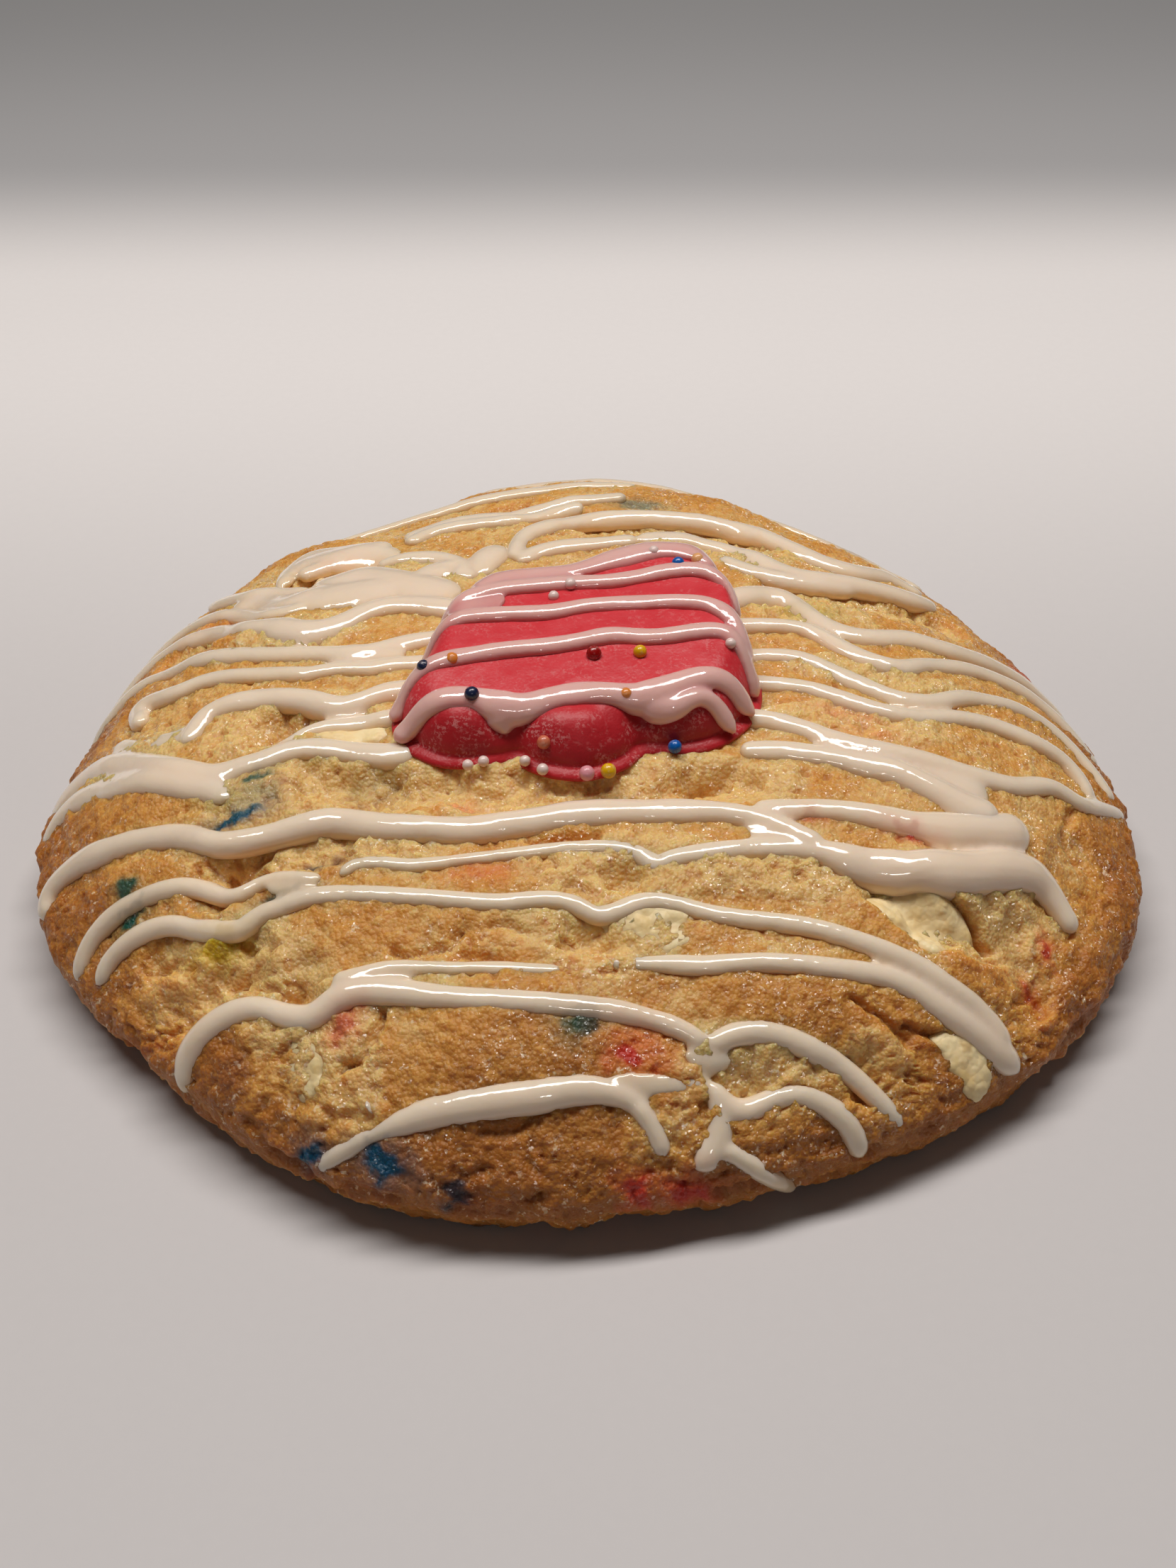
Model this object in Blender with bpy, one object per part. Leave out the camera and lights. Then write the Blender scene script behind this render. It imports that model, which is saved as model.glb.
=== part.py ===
# Birthday cake cookie: a soft baked cookie with a frosted animal biscuit pressed into its top,
# white chocolate chunks in the dough and icing drizzled from side to side.
# Plan sizes are millimetres from the middle of the outline waves, x to the right, y away.

import math
import bpy
import bmesh
from mathutils import Vector

MM = 0.001

# Dough
RADIUS = 50.0
HEIGHT = 21.0
WIDEST_HEIGHT = 5.25
DOME_POWER = 3.4
EDGE_POWER = 1.2
FOOT_RATIO = 0.92
WAVES_COS = (0.025, -0.005, 0.0, 0.009, 0.0, -0.009, 0.003)
WAVES_SIN = (-0.004, -0.001, -0.025, -0.014, -0.002, 0.006, -0.009)
MIDDLE = (1.47, 1.35)
DOUGH_RINGS = 16
SIDE_STEPS = 3

# Gap between pieces that rest on or in one another
GAP = 0.3

# Frosted biscuit
BISCUIT_CENTRE = (1.0, -5.0)
BISCUIT_BASE = 20.45
BISCUIT_HEIGHT = 6.4
BISCUIT_FOOT = 1.0
BISCUIT_RINGS = 8
RIM_SPACE = 1.2

# Drizzle
STROKE_STEP = 5.6
STROKE_RISE = 0.95
STROKE_SINK = 0.9


# Browned mounds of the dough: x, y, half width, half depth, height
MOUNDS = (
    (-4, -42, 14, 6.5, 1.0),
    (18, -37, 13, 4.5, 0.9),
    (-8, -31, 8, 3.2, 0.8),
    (-39, -13, 8, 5, 0.9),
    (-39, -21, 8, 3, 0.6),
    (-30, -38, 7, 5, 0.7),
    (30, -26, 8, 4, 0.7),
    (34, -32, 7, 4, 0.6),
    (33, 8, 9, 4, 0.5),
    (30, 0, 10, 4, 0.4),
    (-30, 8, 9, 4, 0.5),
    (-28, 28, 9, 5, 1.2),
    (12, 34, 12, 5, 0.8),
    (43, -8, 5, 7, 0.5),
    (-10, 38, 8, 5, 0.7),
    (26, 24, 7, 5, 0.6),
    (-12, -21, 7, 3, 0.5),
    (12, -27, 6, 3, 0.5),
)

# Hollows: x, y, half width, half depth, depth
HOLLOWS = (
    (-25, -8, 5.0, 3.2, 2.4),
    (4, -28, 3.2, 2.8, 2.0),
    (1, -33.2, 3.4, 2.6, 2.4),
    (-22, -34.5, 3.2, 2.6, 2.0),
    (-28, -22.9, 3.2, 2.4, 1.6),
    (-33, -28.6, 3.6, 2.4, 1.7),
    (-27, -31.8, 4.4, 3.2, 2.1),
    (13, -42.6, 3.4, 2.4, 1.7),
    (22, -41, 3.4, 2.4, 1.6),
    (-20, -8.5, 3.6, 2.6, 1.3),
    (16, 22, 5, 3.0, 1.4),
    (10.5, -16.4, 4.2, 2.6, 1.6),
    (38, -31, 3.4, 3.0, 1.4),
)

# Fissures: half width, depth, then points along the bottom
FISSURES = (
    (2.0, 2.4, ((-16, -32), (-10, -34.3), (-3, -34), (2, -34), (7, -33))),
    (1.8, 1.9, ((25, -26.2), (29, -28.8), (33, -29.6), (36, -28))),
    (2.2, 2.2, ((45, -17), (43, -21), (40.5, -25), (38, -29), (35, -33))),
    (1.8, 1.6, ((-38, -31), (-35, -33.5), (-31, -33))),
    (1.9, 1.4, ((-30, -24), (-25, -22.8), (-20, -22.8))),
    (1.9, 1.5, ((-22, -16), (-14, -18.4), (-4, -18.8), (6, -18.6), (14, -17))),
    (2.0, 1.4, ((20, 12), (28, 13), (36, 14))),
    (2.0, 1.4, ((-38, 10), (-30, 15), (-20, 20))),
    (2.0, 1.6, ((-6, 30), (4, 25), (16, 25))),
    (2.0, 1.4, ((-30, 33), (-22, 38), (-12, 42))),
    (2.0, 1.4, ((14, 40), (24, 36), (32, 30))),
)

# Icing strokes on the dough: half width, then points of the route
STROKES = (
    (1.0, ((-20, -46.5), (-15.5, -45.5), (-9.5, -45.5), (-3, -45), (1.5, -44.5), (5, -45), (7, -47))),
    (1.1, ((-32, -38), (-27.5, -35), (-23.5, -36), (-19.5, -37), (-15.5, -36.5), (-8.5, -38.5),
           (-5, -39), (-1.5, -39), (2, -39), (7.5, -40), (10, -41))),
    (0.9, ((10, -41), (14, -39.5), (18.5, -40.5), (22.5, -41.5), (25.5, -43))),
    (0.9, ((11.5, -44), (16, -43), (20, -43), (22.5, -45))),
    (1.1, ((2.5, -35.5), (8, -35.5), (13.5, -35), (17, -35), (21, -34.5), (26.5, -34.5), (31.5, -36),
           (36, -37))),
    (1.0, ((-40, -27.5), (-35.5, -26), (-30.5, -27.5), (-26.5, -29), (-22, -28), (-12, -29.5),
           (-6.5, -30.5), (-2, -30.5), (2, -31.5), (6, -30), (10.5, -31), (16, -31.5), (22, -32),
           (27.5, -33), (32, -34.5), (35, -36.5))),
    (0.8, ((-42.5, -25.5), (-38, -23), (-33, -23.5), (-29, -25.5), (-24, -25), (-20.5, -26.5))),
    (1.4, ((6.5, -27), (12, -25.5), (16, -24.5), (20, -24.5), (23.5, -25), (31.5, -24.5), (36, -22.5),
           (40.5, -22.5), (42.5, -24.5))),
    (1.3, ((-46.5, -18.5), (-40.5, -16.5), (-35.5, -17.5), (-30, -20.5), (-25.5, -21), (-19.5, -20.5),
           (-16.5, -22), (-12.5, -23), (-8.5, -23), (-4.5, -22.5), (-1, -22), (3, -21.5), (7, -21),
           (11, -21), (16.5, -22), (20.5, -24))),
    (1.8, ((15, -21), (19, -20), (26, -20), (29.5, -20.5), (34, -19.5), (39, -17.5))),
    (1.0, ((15.5, -8.5), (21.5, -11), (26, -12.5), (30, -12.5), (34, -13), (38, -12.5), (43.5, -10.5),
           (48, -8.5), (50.5, -6.5))),
    (1.4, ((16, -14), (20.5, -13.5), (27, -14.5), (31.5, -16.5), (36.5, -17.5))),
    (0.9, ((16.5, -4), (22, -5), (28, -7), (35, -5), (38.5, -4.5), (44.5, -5.5), (47, -9))),
    (0.9, ((16, 0), (22, -0.5), (26.5, -3.5), (32, -4), (35.5, -1.5), (39.5, 0), (43.5, 0.5),
           (48.5, -3), (50, -5.5))),
    (0.9, ((16.5, 5), (22, 5), (27, 0.5), (32.5, 2), (39.5, 5), (44, 5.5), (47.5, 4.5), (50, 1.5))),
    (1.2, ((16.5, 9.5), (21, 11), (22.5, 7), (28, 5.5), (35, 6.5), (40, 8.5), (44, 9.5), (48, 9),
           (51, 7))),
    (0.9, ((-5, 16.5), (-1, 19.5), (2.5, 20), (6.5, 21))),
    (1.1, ((-5.5, 17), (-4.5, 22.5), (1, 26.5), (5.5, 27), (10.5, 27.5), (14.5, 27.5), (18, 26),
           (21.5, 23), (28, 20), (32, 22), (35.5, 21))),
    (0.9, ((6.5, 21), (12, 22), (16, 20.5), (19, 17.5), (22.5, 15.5), (26.5, 16), (33.5, 17.5),
           (36.5, 18.5))),
    (0.9, ((14, 17.5), (18, 15), (21.5, 14.5), (27.5, 15.5))),
    (0.9, ((-17, 24.5), (-12, 27.5), (-8, 27.5), (-4.5, 29.5), (-1, 30.5), (3, 32), (5.5, 32))),
    (0.9, ((-24, 38.5), (-17, 39.5), (-9, 41), (-2, 43), (5, 44), (11, 43.5), (16, 43.5))),
    (1.2, ((-50.5, -6.5), (-44, -4), (-38, -8.5), (-34, -12), (-29.5, -12.5), (-25, -12),
           (-19.5, -12.5), (-15, -14.5))),
    (1.3, ((-50.5, -10), (-46, -7), (-40, -9.5), (-35.5, -12), (-29.5, -16.5))),
    (1.1, ((-34.5, -7.5), (-33, -4), (-29, -3.5), (-23, -5.5), (-20, -6.5), (-16.5, -4.5))),
    (0.9, ((-40, -0.5), (-41, 3), (-36.5, 2), (-29.5, 1), (-24, -1), (-20, -1), (-16, -1))),
    (1.0, ((-48.5, 6), (-43.5, 9.5), (-39.5, 9), (-36, 7), (-30, 4.5), (-26.5, 3), (-23, 2), (-18, 1.5),
           (-15, 3))),
    (1.2, ((-46, 12), (-40.5, 14.5), (-34.5, 12.5), (-31, 9), (-27.5, 7.5), (-22.5, 6), (-19.5, 9),
           (-15.5, 9.5), (-12.5, 8.5))),
    (0.8, ((-43.5, 17), (-38, 18), (-32.5, 14.5), (-29.5, 11.5), (-25, 11.5))),
    (0.8, ((-37, 21.5), (-32, 18), (-26, 16))),
    (1.0, ((-19.5, 19), (-13, 18), (-11, 13.5))),
    (1.2, ((-28.5, 18.5), (-28.5, 22), (-24, 23.5), (-18, 22.5))),
    (0.8, ((-27.5, 19.5), (-22, 21.5), (-19.5, 22.5))),
)

# White chocolate chunks: x, y, length, width, turn in degrees, how far they stand out
CHUNKS = (
    (28, -27.9, 10, 6, -24, 0.35),
    (31.4, -38, 5.8, 3.8, -25, 0.3),
    (6, -32, 8.6, 5.2, -6, 0.3),
    (-20.8, -40.6, 4.0, 6.0, 14, 0.3),
    (-19, -10.7, 8.4, 3.2, -6, 0.4),
    (-23.6, 18, 5.4, 3.8, 20, 0.6),
)

# Outline of the frosted biscuit
BISCUIT_OUTLINE = (
    (-15.8, -9.5), (-14.6, -13.3), (-11.4, -15.9), (-7.6, -16), (-5.2, -15.5), (-3.2, -17), (0.9, -17.9),
    (4.2, -16.5), (6.2, -14.6), (10.1, -14.3), (13.4, -12.8), (16.2, -8.8), (16.7, -4), (15.6, 0.5),
    (14.6, 4.6), (12.4, 9.2), (9, 10.9), (5.4, 10.2), (2.4, 8.2), (-0.8, 6.8), (-5, 6.4), (-8.6, 4.8),
    (-11.6, 0.8), (-13.8, -3.7),
)

# How the top leans down towards the lobes, per square millimetre
FRONT_LEAN = 0.0012

# Rounded lobes along the near edge and on the far side: x, y, half width, half depth, height
LOBES = (
    (-10.6, -14.4, 5.0, 3.0, 0.9),
    (-0.4, -15.9, 5.4, 3.6, 1.1),
    (11.0, -13.4, 5.0, 3.0, 0.8),
    (9.4, 6.4, 5.0, 4.0, 0.5),
)
LOBE_GROOVES = (
    (1.2, 1.0, ((-6, -17.5), (-5.8, -14.6), (-6.0, -13.8))),
    (1.2, 1.0, ((6.2, -16.5), (5.8, -13.8), (6.0, -13.0))),
)

# Icing strokes on the biscuit
BISCUIT_STROKES = (
    (0.9, ((-9.5, 2.5), (-6.5, 4), (-2.5, 5), (1, 5.5), (4, 7), (7.5, 8.5), (11, 8), (13, 6.5))),
    (0.9, ((-12.5, -1.5), (-10, 0.5), (-7, 2), (-3, 2.5), (0, 3), (3, 3), (6, 4), (9, 4.5), (12, 4.5),
           (15, 1))),
    (0.9, ((-14.5, -5.5), (-10, -2), (-6, -1.5), (-2, -1.5), (1, -0.5), (5, 0), (9, 0), (12, -0.5),
           (15.5, -5.5))),
    (0.9, ((-15.5, -10.5), (-11.5, -8), (-6, -6.5), (-0.5, -6), (3, -4.5), (8, -5), (12.5, -4),
           (16, -7))),
    (1.2, ((-15.5, -13), (-11.5, -12), (-6.5, -13), (-2, -12.5), (4, -11.5), (8.5, -10.5), (11.5, -9.5),
           (15.5, -10))),
    (1.1, ((5.5, -11.5), (8.5, -12.5), (11.5, -11.5), (14, -12.5))),
)

# Sugar balls on the biscuit
BALL_RADIUS = 0.75
BALLS = (
    (9.5, 5.5), (11.5, 6), (7.5, 7.5), (0, 2.5), (-1.5, 1), (13.5, -5.5), (-10.5, -8), (-12.5, -8),
    (2, -7), (6, -7), (-8.5, -12.5), (4.5, -11.5), (8.5, -14.5), (-2.5, -15.5), (-9, -16.5),
    (-7.5, -16), (-4, -16), (-2.5, -17.5), (1, -18), (3, -17.5),
)


def outline_radius(angle):
    wave = 1.0
    for k in range(7):
        wave += WAVES_COS[k] * math.cos((k + 1) * angle) + WAVES_SIN[k] * math.sin((k + 1) * angle)
    return RADIUS * wave


def bump(x, y, spots):
    total = 0.0
    for sx, sy, half_x, half_y, size in spots:
        d2 = ((x - sx) / half_x) ** 2 + ((y - sy) / half_y) ** 2
        if d2 < 1:
            total += size * (1 - d2) ** 2
    return total


def distance_to_route(x, y, route):
    best = 1e9
    for (ax, ay), (bx, by) in zip(route, route[1:]):
        dx, dy = bx - ax, by - ay
        t = ((x - ax) * dx + (y - ay) * dy) / (dx * dx + dy * dy)
        t = min(1.0, max(0.0, t))
        best = min(best, math.hypot(x - ax - t * dx, y - ay - t * dy))
    return best


def groove(x, y, grooves):
    total = 0.0
    for half, depth, route in grooves:
        d = distance_to_route(x, y, route) / (1.6 * half)
        if d < 1:
            total = max(total, depth * (1 - d * d) ** 2)
    return total


def dome_height(x, y):
    share = math.hypot(x, y) / outline_radius(math.atan2(y, x))
    crown = max(0.0, 1 - min(share, 1.0) ** DOME_POWER) ** (1 / EDGE_POWER)
    return WIDEST_HEIGHT + (HEIGHT - WIDEST_HEIGHT) * crown


def dough_relief(x, y):
    share = math.hypot(x, y) / outline_radius(math.atan2(y, x))
    fade = min(1.0, max(0.0, (1.0 - share) / 0.08))
    relief = bump(x, y, MOUNDS) - bump(x, y, HOLLOWS) - groove(x, y, FISSURES)
    return relief * fade


def dough_height(x, y):
    return dome_height(x, y) + dough_relief(x, y)


def smooth_route(route, step):
    points = []
    count = len(route)
    for i in range(count - 1):
        before = route[max(i - 1, 0)]
        start, end = route[i], route[i + 1]
        after = route[min(i + 2, count - 1)]
        pieces = max(1, round(math.dist(start, end) / step))
        for j in range(pieces):
            t = j / pieces
            spot = []
            for a, b, c, d in zip(before, start, end, after):
                spot.append(0.5 * (2 * b + (c - a) * t + (2 * a - 5 * b + 4 * c - d) * t * t
                                   + (3 * b - a - 3 * c + d) * t ** 3))
            points.append(tuple(spot))
    points.append(tuple(route[-1]))
    return points


def place(x, y, z):
    return Vector(((x - MIDDLE[0]) * MM, (y - MIDDLE[1]) * MM, z * MM))


def surface_normal(height, x, y):
    step = 0.6
    slope_x = (height(x + step, y) - height(x - step, y)) / (2 * step)
    slope_y = (height(x, y + step) - height(x, y - step)) / (2 * step)
    return Vector((-slope_x, -slope_y, 1)).normalized()


def make_object(name, mesh_data, material):
    mesh = bpy.data.meshes.new(name)
    mesh_data.to_mesh(mesh)
    mesh_data.free()
    mesh.materials.append(material)
    item = bpy.data.objects.new(name, mesh)
    bpy.context.scene.collection.objects.link(item)
    return item


def make_material(name, colour, roughness):
    material = bpy.data.materials.new(name)
    material.use_nodes = True
    shader = material.node_tree.nodes["Principled BSDF"]
    shader.inputs["Base Color"].default_value = (*colour, 1)
    shader.inputs["Roughness"].default_value = roughness
    shader.inputs["Metallic"].default_value = 0
    return material


def disc_rings(mesh, rings, spot):
    """A centre vertex and rings of 6 k vertices, filled with even triangles."""
    centre = mesh.verts.new(spot(0.0, 0.0))
    last = [centre]
    for k in range(1, rings + 1):
        ring = [mesh.verts.new(spot(k / rings, math.tau * i / (6 * k))) for i in range(6 * k)]
        for side in range(6):
            for i in range(k):
                a = ring[side * k + i]
                b = ring[(side * k + i + 1) % (6 * k)]
                inner = last[(side * (k - 1) + i) % len(last)]
                mesh.faces.new((a, b, inner))
                if i < k - 1:
                    inner_next = last[(side * (k - 1) + i + 1) % len(last)]
                    mesh.faces.new((b, inner_next, inner))
        last = ring
    return last


def close_below(mesh, rim, rows):
    """Carries the rim down through rows of points and closes the bottom with one face."""
    last = rim
    for row in rows:
        ring = [mesh.verts.new(spot) for spot in row]
        count = len(ring)
        for i in range(count):
            j = (i + 1) % count
            mesh.faces.new((last[i], ring[i], ring[j], last[j]))
        last = ring
    mesh.faces.new(tuple(reversed(last)))


def dough_body(material):
    mesh = bmesh.new()

    def top(share, angle):
        share = 1 - (1 - share) ** 1.25
        radius = share * outline_radius(angle)
        x, y = radius * math.cos(angle), radius * math.sin(angle)
        return place(x, y, dough_height(x, y))

    rim = disc_rings(mesh, DOUGH_RINGS, top)
    rows = []
    for step in range(1, SIDE_STEPS + 1):
        t = math.pi / 2 * step / SIDE_STEPS
        row = []
        for i in range(6 * DOUGH_RINGS):
            angle = math.tau * i / (6 * DOUGH_RINGS)
            radius = outline_radius(angle) * (FOOT_RATIO + (1 - FOOT_RATIO) * math.cos(t))
            z = WIDEST_HEIGHT * (1 - math.sin(t))
            row.append(place(radius * math.cos(angle), radius * math.sin(angle), z))
        rows.append(row)
    close_below(mesh, rim, rows)
    return make_object("cookie", mesh, material)


def stroke_body(name, route, half, height, limit, material):
    """A rounded bead of icing half sunk in the surface it lies on."""
    inside = []
    for x, y in smooth_route(route, STROKE_STEP):
        inside.append(limit(x, y))
    spots = []
    for x, y in inside:
        spots.append(place(x, y, height(x, y)) / MM)
    count = len(spots)
    mesh = bmesh.new()
    rings = []
    for i in range(count):
        ahead = (spots[min(i + 1, count - 1)] - spots[max(i - 1, 0)]).normalized()
        up = surface_normal(height, inside[i][0], inside[i][1])
        side = ahead.cross(up).normalized()
        up = side.cross(ahead).normalized()
        shapes = [(0.0, 1.0)]
        if i == 0:
            shapes = [(-0.75 * half, 0.45), (0.1 * half, 0.95)]
        if i == count - 1:
            shapes = [(-0.1 * half, 0.95), (0.75 * half, 0.45)]
        for shift, scale in shapes:
            centre = spots[i] + ahead * shift
            w, h, sink = half * scale, STROKE_RISE * half * scale, STROKE_SINK * scale
            section = ((w, 0), (0.55 * w, h), (-0.55 * w, h), (-w, 0), (0, -sink))
            rings.append([mesh.verts.new((centre + side * s + up * r) * MM) for s, r in section])
    for a, b in zip(rings, rings[1:]):
        for i in range(5):
            j = (i + 1) % 5
            mesh.faces.new((a[i], b[i], b[j], a[j]))
    mesh.faces.new(rings[0])
    mesh.faces.new(tuple(reversed(rings[-1])))
    bmesh.ops.recalc_face_normals(mesh, faces=mesh.faces)
    return make_object(name, mesh, material)


def boolean_all(base, pieces, operation, solver):
    """One Boolean with a collection of pieces, applied, after which the pieces are removed."""
    group = bpy.data.collections.new(base.name + "_pieces")
    bpy.context.scene.collection.children.link(group)
    for piece in pieces:
        bpy.context.scene.collection.objects.unlink(piece)
        group.objects.link(piece)
    modifier = base.modifiers.new("join", "BOOLEAN")
    modifier.operation = operation
    modifier.operand_type = "COLLECTION"
    modifier.collection = group
    modifier.solver = solver
    with bpy.context.temp_override(object=base, active_object=base):
        bpy.ops.object.modifier_apply(modifier=modifier.name)
    for piece in pieces:
        bpy.data.objects.remove(piece)
    bpy.data.collections.remove(group)


def tidy(item):
    """Keeps the one body that the pieces make together and drops loose scraps."""
    mesh = bmesh.new()
    mesh.from_mesh(item.data)
    bmesh.ops.triangulate(mesh, faces=mesh.faces)
    groups = []
    seen = set()
    for face in mesh.faces:
        if face in seen:
            continue
        group, waiting = [], [face]
        seen.add(face)
        while waiting:
            current = waiting.pop()
            group.append(current)
            for edge in current.edges:
                for other in edge.link_faces:
                    if other not in seen:
                        seen.add(other)
                        waiting.append(other)
        groups.append(group)
    groups.sort(key=len)
    for group in groups[:-1]:
        bmesh.ops.delete(mesh, geom=group, context="FACES")
    loose = [v for v in mesh.verts if not v.link_faces]
    bmesh.ops.delete(mesh, geom=loose, context="VERTS")
    mesh.to_mesh(item.data)
    mesh.free()


def dough_limit(x, y):
    share = math.hypot(x, y) / outline_radius(math.atan2(y, x))
    pull = min(1.0, 0.975 / share)
    return x * pull, y * pull


def biscuit_points():
    closed = BISCUIT_OUTLINE[-1:] + BISCUIT_OUTLINE + BISCUIT_OUTLINE[:2]
    return smooth_route(closed, 0.9)


def biscuit_radii(count):
    """Distance from the biscuit's centre to its outline at even angles."""
    points = biscuit_points()
    radii = []
    for i in range(count):
        angle = math.tau * i / count
        ux, uy = math.cos(angle), math.sin(angle)
        best = 0.0
        for a, b in zip(points, points[1:]):
            ax, ay = a[0] - BISCUIT_CENTRE[0], a[1] - BISCUIT_CENTRE[1]
            bx, by = b[0] - BISCUIT_CENTRE[0], b[1] - BISCUIT_CENTRE[1]
            ex, ey = bx - ax, by - ay
            bottom = ux * ey - uy * ex
            if abs(bottom) < 1e-9:
                continue
            reach = (ax * ey - ay * ex) / bottom
            along = (ax * uy - ay * ux) / bottom
            if 0 <= along <= 1 and reach > best:
                best = reach
        radii.append(best)
    return radii


BISCUIT_RADII = biscuit_radii(360)


def biscuit_radius(angle):
    place_in = (angle / math.tau * 360) % 360
    low = int(place_in) % 360
    part = place_in - int(place_in)
    return BISCUIT_RADII[low] * (1 - part) + BISCUIT_RADII[(low + 1) % 360] * part


def smooth_step(low, high, value):
    t = min(1.0, max(0.0, (value - low) / (high - low)))
    return t * t * (3 - 2 * t)


def far_side(angle):
    """1 on the far side, where the biscuit's edge is steep, and 0 on the near side."""
    return smooth_step(-0.15, 0.45, math.sin(angle))


def biscuit_edge(angle):
    return biscuit_radius(angle) - 1.0 + 0.55 * far_side(angle)


def biscuit_height(x, y):
    dx, dy = x - BISCUIT_CENTRE[0], y - BISCUIT_CENTRE[1]
    angle = math.atan2(dy, dx)
    width = 4.4 - smooth_step(-14, -6, y) - 2.0 * far_side(angle)
    roll = min(1.0, max(0.0, (biscuit_edge(angle) - math.hypot(dx, dy)) / width))
    rise = (1 - (1 - roll) ** 2.2) ** 0.6
    lean = 1 - FRONT_LEAN * min(30.0, max(0.0, 4 - y)) ** 2
    crown = (BISCUIT_HEIGHT - BISCUIT_FOOT) * lean + bump(x, y, LOBES) - groove(x, y, LOBE_GROOVES)
    return BISCUIT_BASE + BISCUIT_FOOT + rise * crown


def biscuit_limit(x, y):
    dx, dy = x - BISCUIT_CENTRE[0], y - BISCUIT_CENTRE[1]
    reach = biscuit_radius(math.atan2(dy, dx)) - RIM_SPACE
    pull = min(1.0, reach / math.hypot(dx, dy))
    return BISCUIT_CENTRE[0] + dx * pull, BISCUIT_CENTRE[1] + dy * pull


def biscuit_body(material):
    mesh = bmesh.new()
    count = 6 * BISCUIT_RINGS

    def top(share, angle):
        share = 1 - (1 - share) ** 1.5
        radius = share * biscuit_edge(angle)
        x = BISCUIT_CENTRE[0] + radius * math.cos(angle)
        y = BISCUIT_CENTRE[1] + radius * math.sin(angle)
        return place(x, y, biscuit_height(x, y))

    rim = disc_rings(mesh, BISCUIT_RINGS, top)
    rows = []
    for inset, z in ((0.0, BISCUIT_FOOT * 0.55), (0.1, 0.2), (0.5, 0.0)):
        row = []
        for i in range(count):
            angle = math.tau * i / count
            radius = biscuit_radius(angle) - inset
            x = BISCUIT_CENTRE[0] + radius * math.cos(angle)
            y = BISCUIT_CENTRE[1] + radius * math.sin(angle)
            row.append(place(x, y, BISCUIT_BASE + z))
        rows.append(row)
    close_below(mesh, rim, rows)
    return make_object("pink_biscuit", mesh, material)


def biscuit_seat(material):
    """The space that the biscuit takes in the dough, with a gap all round."""
    mesh = bmesh.new()
    count = 60
    rings = []
    for z in (BISCUIT_BASE - GAP, BISCUIT_BASE + 6):
        ring = []
        for i in range(count):
            angle = math.tau * i / count
            radius = biscuit_radius(angle) + GAP + 0.25
            x = BISCUIT_CENTRE[0] + radius * math.cos(angle)
            y = BISCUIT_CENTRE[1] + radius * math.sin(angle)
            ring.append(mesh.verts.new(place(x, y, z)))
        rings.append(ring)
    for i in range(count):
        j = (i + 1) % count
        mesh.faces.new((rings[0][i], rings[0][j], rings[1][j], rings[1][i]))
    mesh.faces.new(tuple(reversed(rings[0])))
    mesh.faces.new(rings[1])
    return make_object("seat", mesh, material)


def ball_body(name, x, y, z, radius, material):
    mesh = bmesh.new()
    bmesh.ops.create_icosphere(mesh, subdivisions=1, radius=radius * MM)
    bmesh.ops.translate(mesh, verts=mesh.verts, vec=place(x, y, z))
    return make_object(name, mesh, material)


def chunk_body(name, chunk, grow, material):
    """A block of white chocolate with rounded edges, baked into the dough."""
    x, y, length, width, turn, proud = chunk
    deep = 4.2
    up = surface_normal(dome_height, x, y)
    foot = surface_normal(dough_height, x, y)
    up = (up + foot).normalized()
    turned = Vector((math.cos(math.radians(turn)), math.sin(math.radians(turn)), 0))
    across = up.cross(turned).normalized()
    along = across.cross(up).normalized()
    top = place(x, y, dough_height(x, y)) / MM + up * proud
    mesh = bmesh.new()
    rings = []
    levels = ((0.0, 0.62), (-0.9, 0.96), (-2.4, 1.0), (-deep, 0.6))
    for depth, scale in levels:
        ring = []
        for i in range(8):
            angle = math.tau * (i + 0.5) / 8
            c, s = math.cos(angle), math.sin(angle)
            flat = (abs(c) ** 4 + abs(s) ** 4) ** -0.25
            a = (length / 2 * scale + grow) * c * flat
            b = (width / 2 * scale + grow) * s * flat
            rise = depth
            if depth == 0.0:
                rise += grow + (30 * grow)
            if depth == -deep:
                rise -= grow
            ring.append(mesh.verts.new((top + along * a + across * b + up * rise) * MM))
        rings.append(ring)
    for a, b in zip(rings, rings[1:]):
        for i in range(8):
            j = (i + 1) % 8
            mesh.faces.new((a[i], a[j], b[j], b[i]))
    mesh.faces.new(tuple(reversed(rings[0])))
    mesh.faces.new(rings[-1])
    bmesh.ops.recalc_face_normals(mesh, faces=mesh.faces)
    return make_object(name, mesh, material)


def clear_scene():
    for item in list(bpy.data.objects):
        bpy.data.objects.remove(item)


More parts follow.
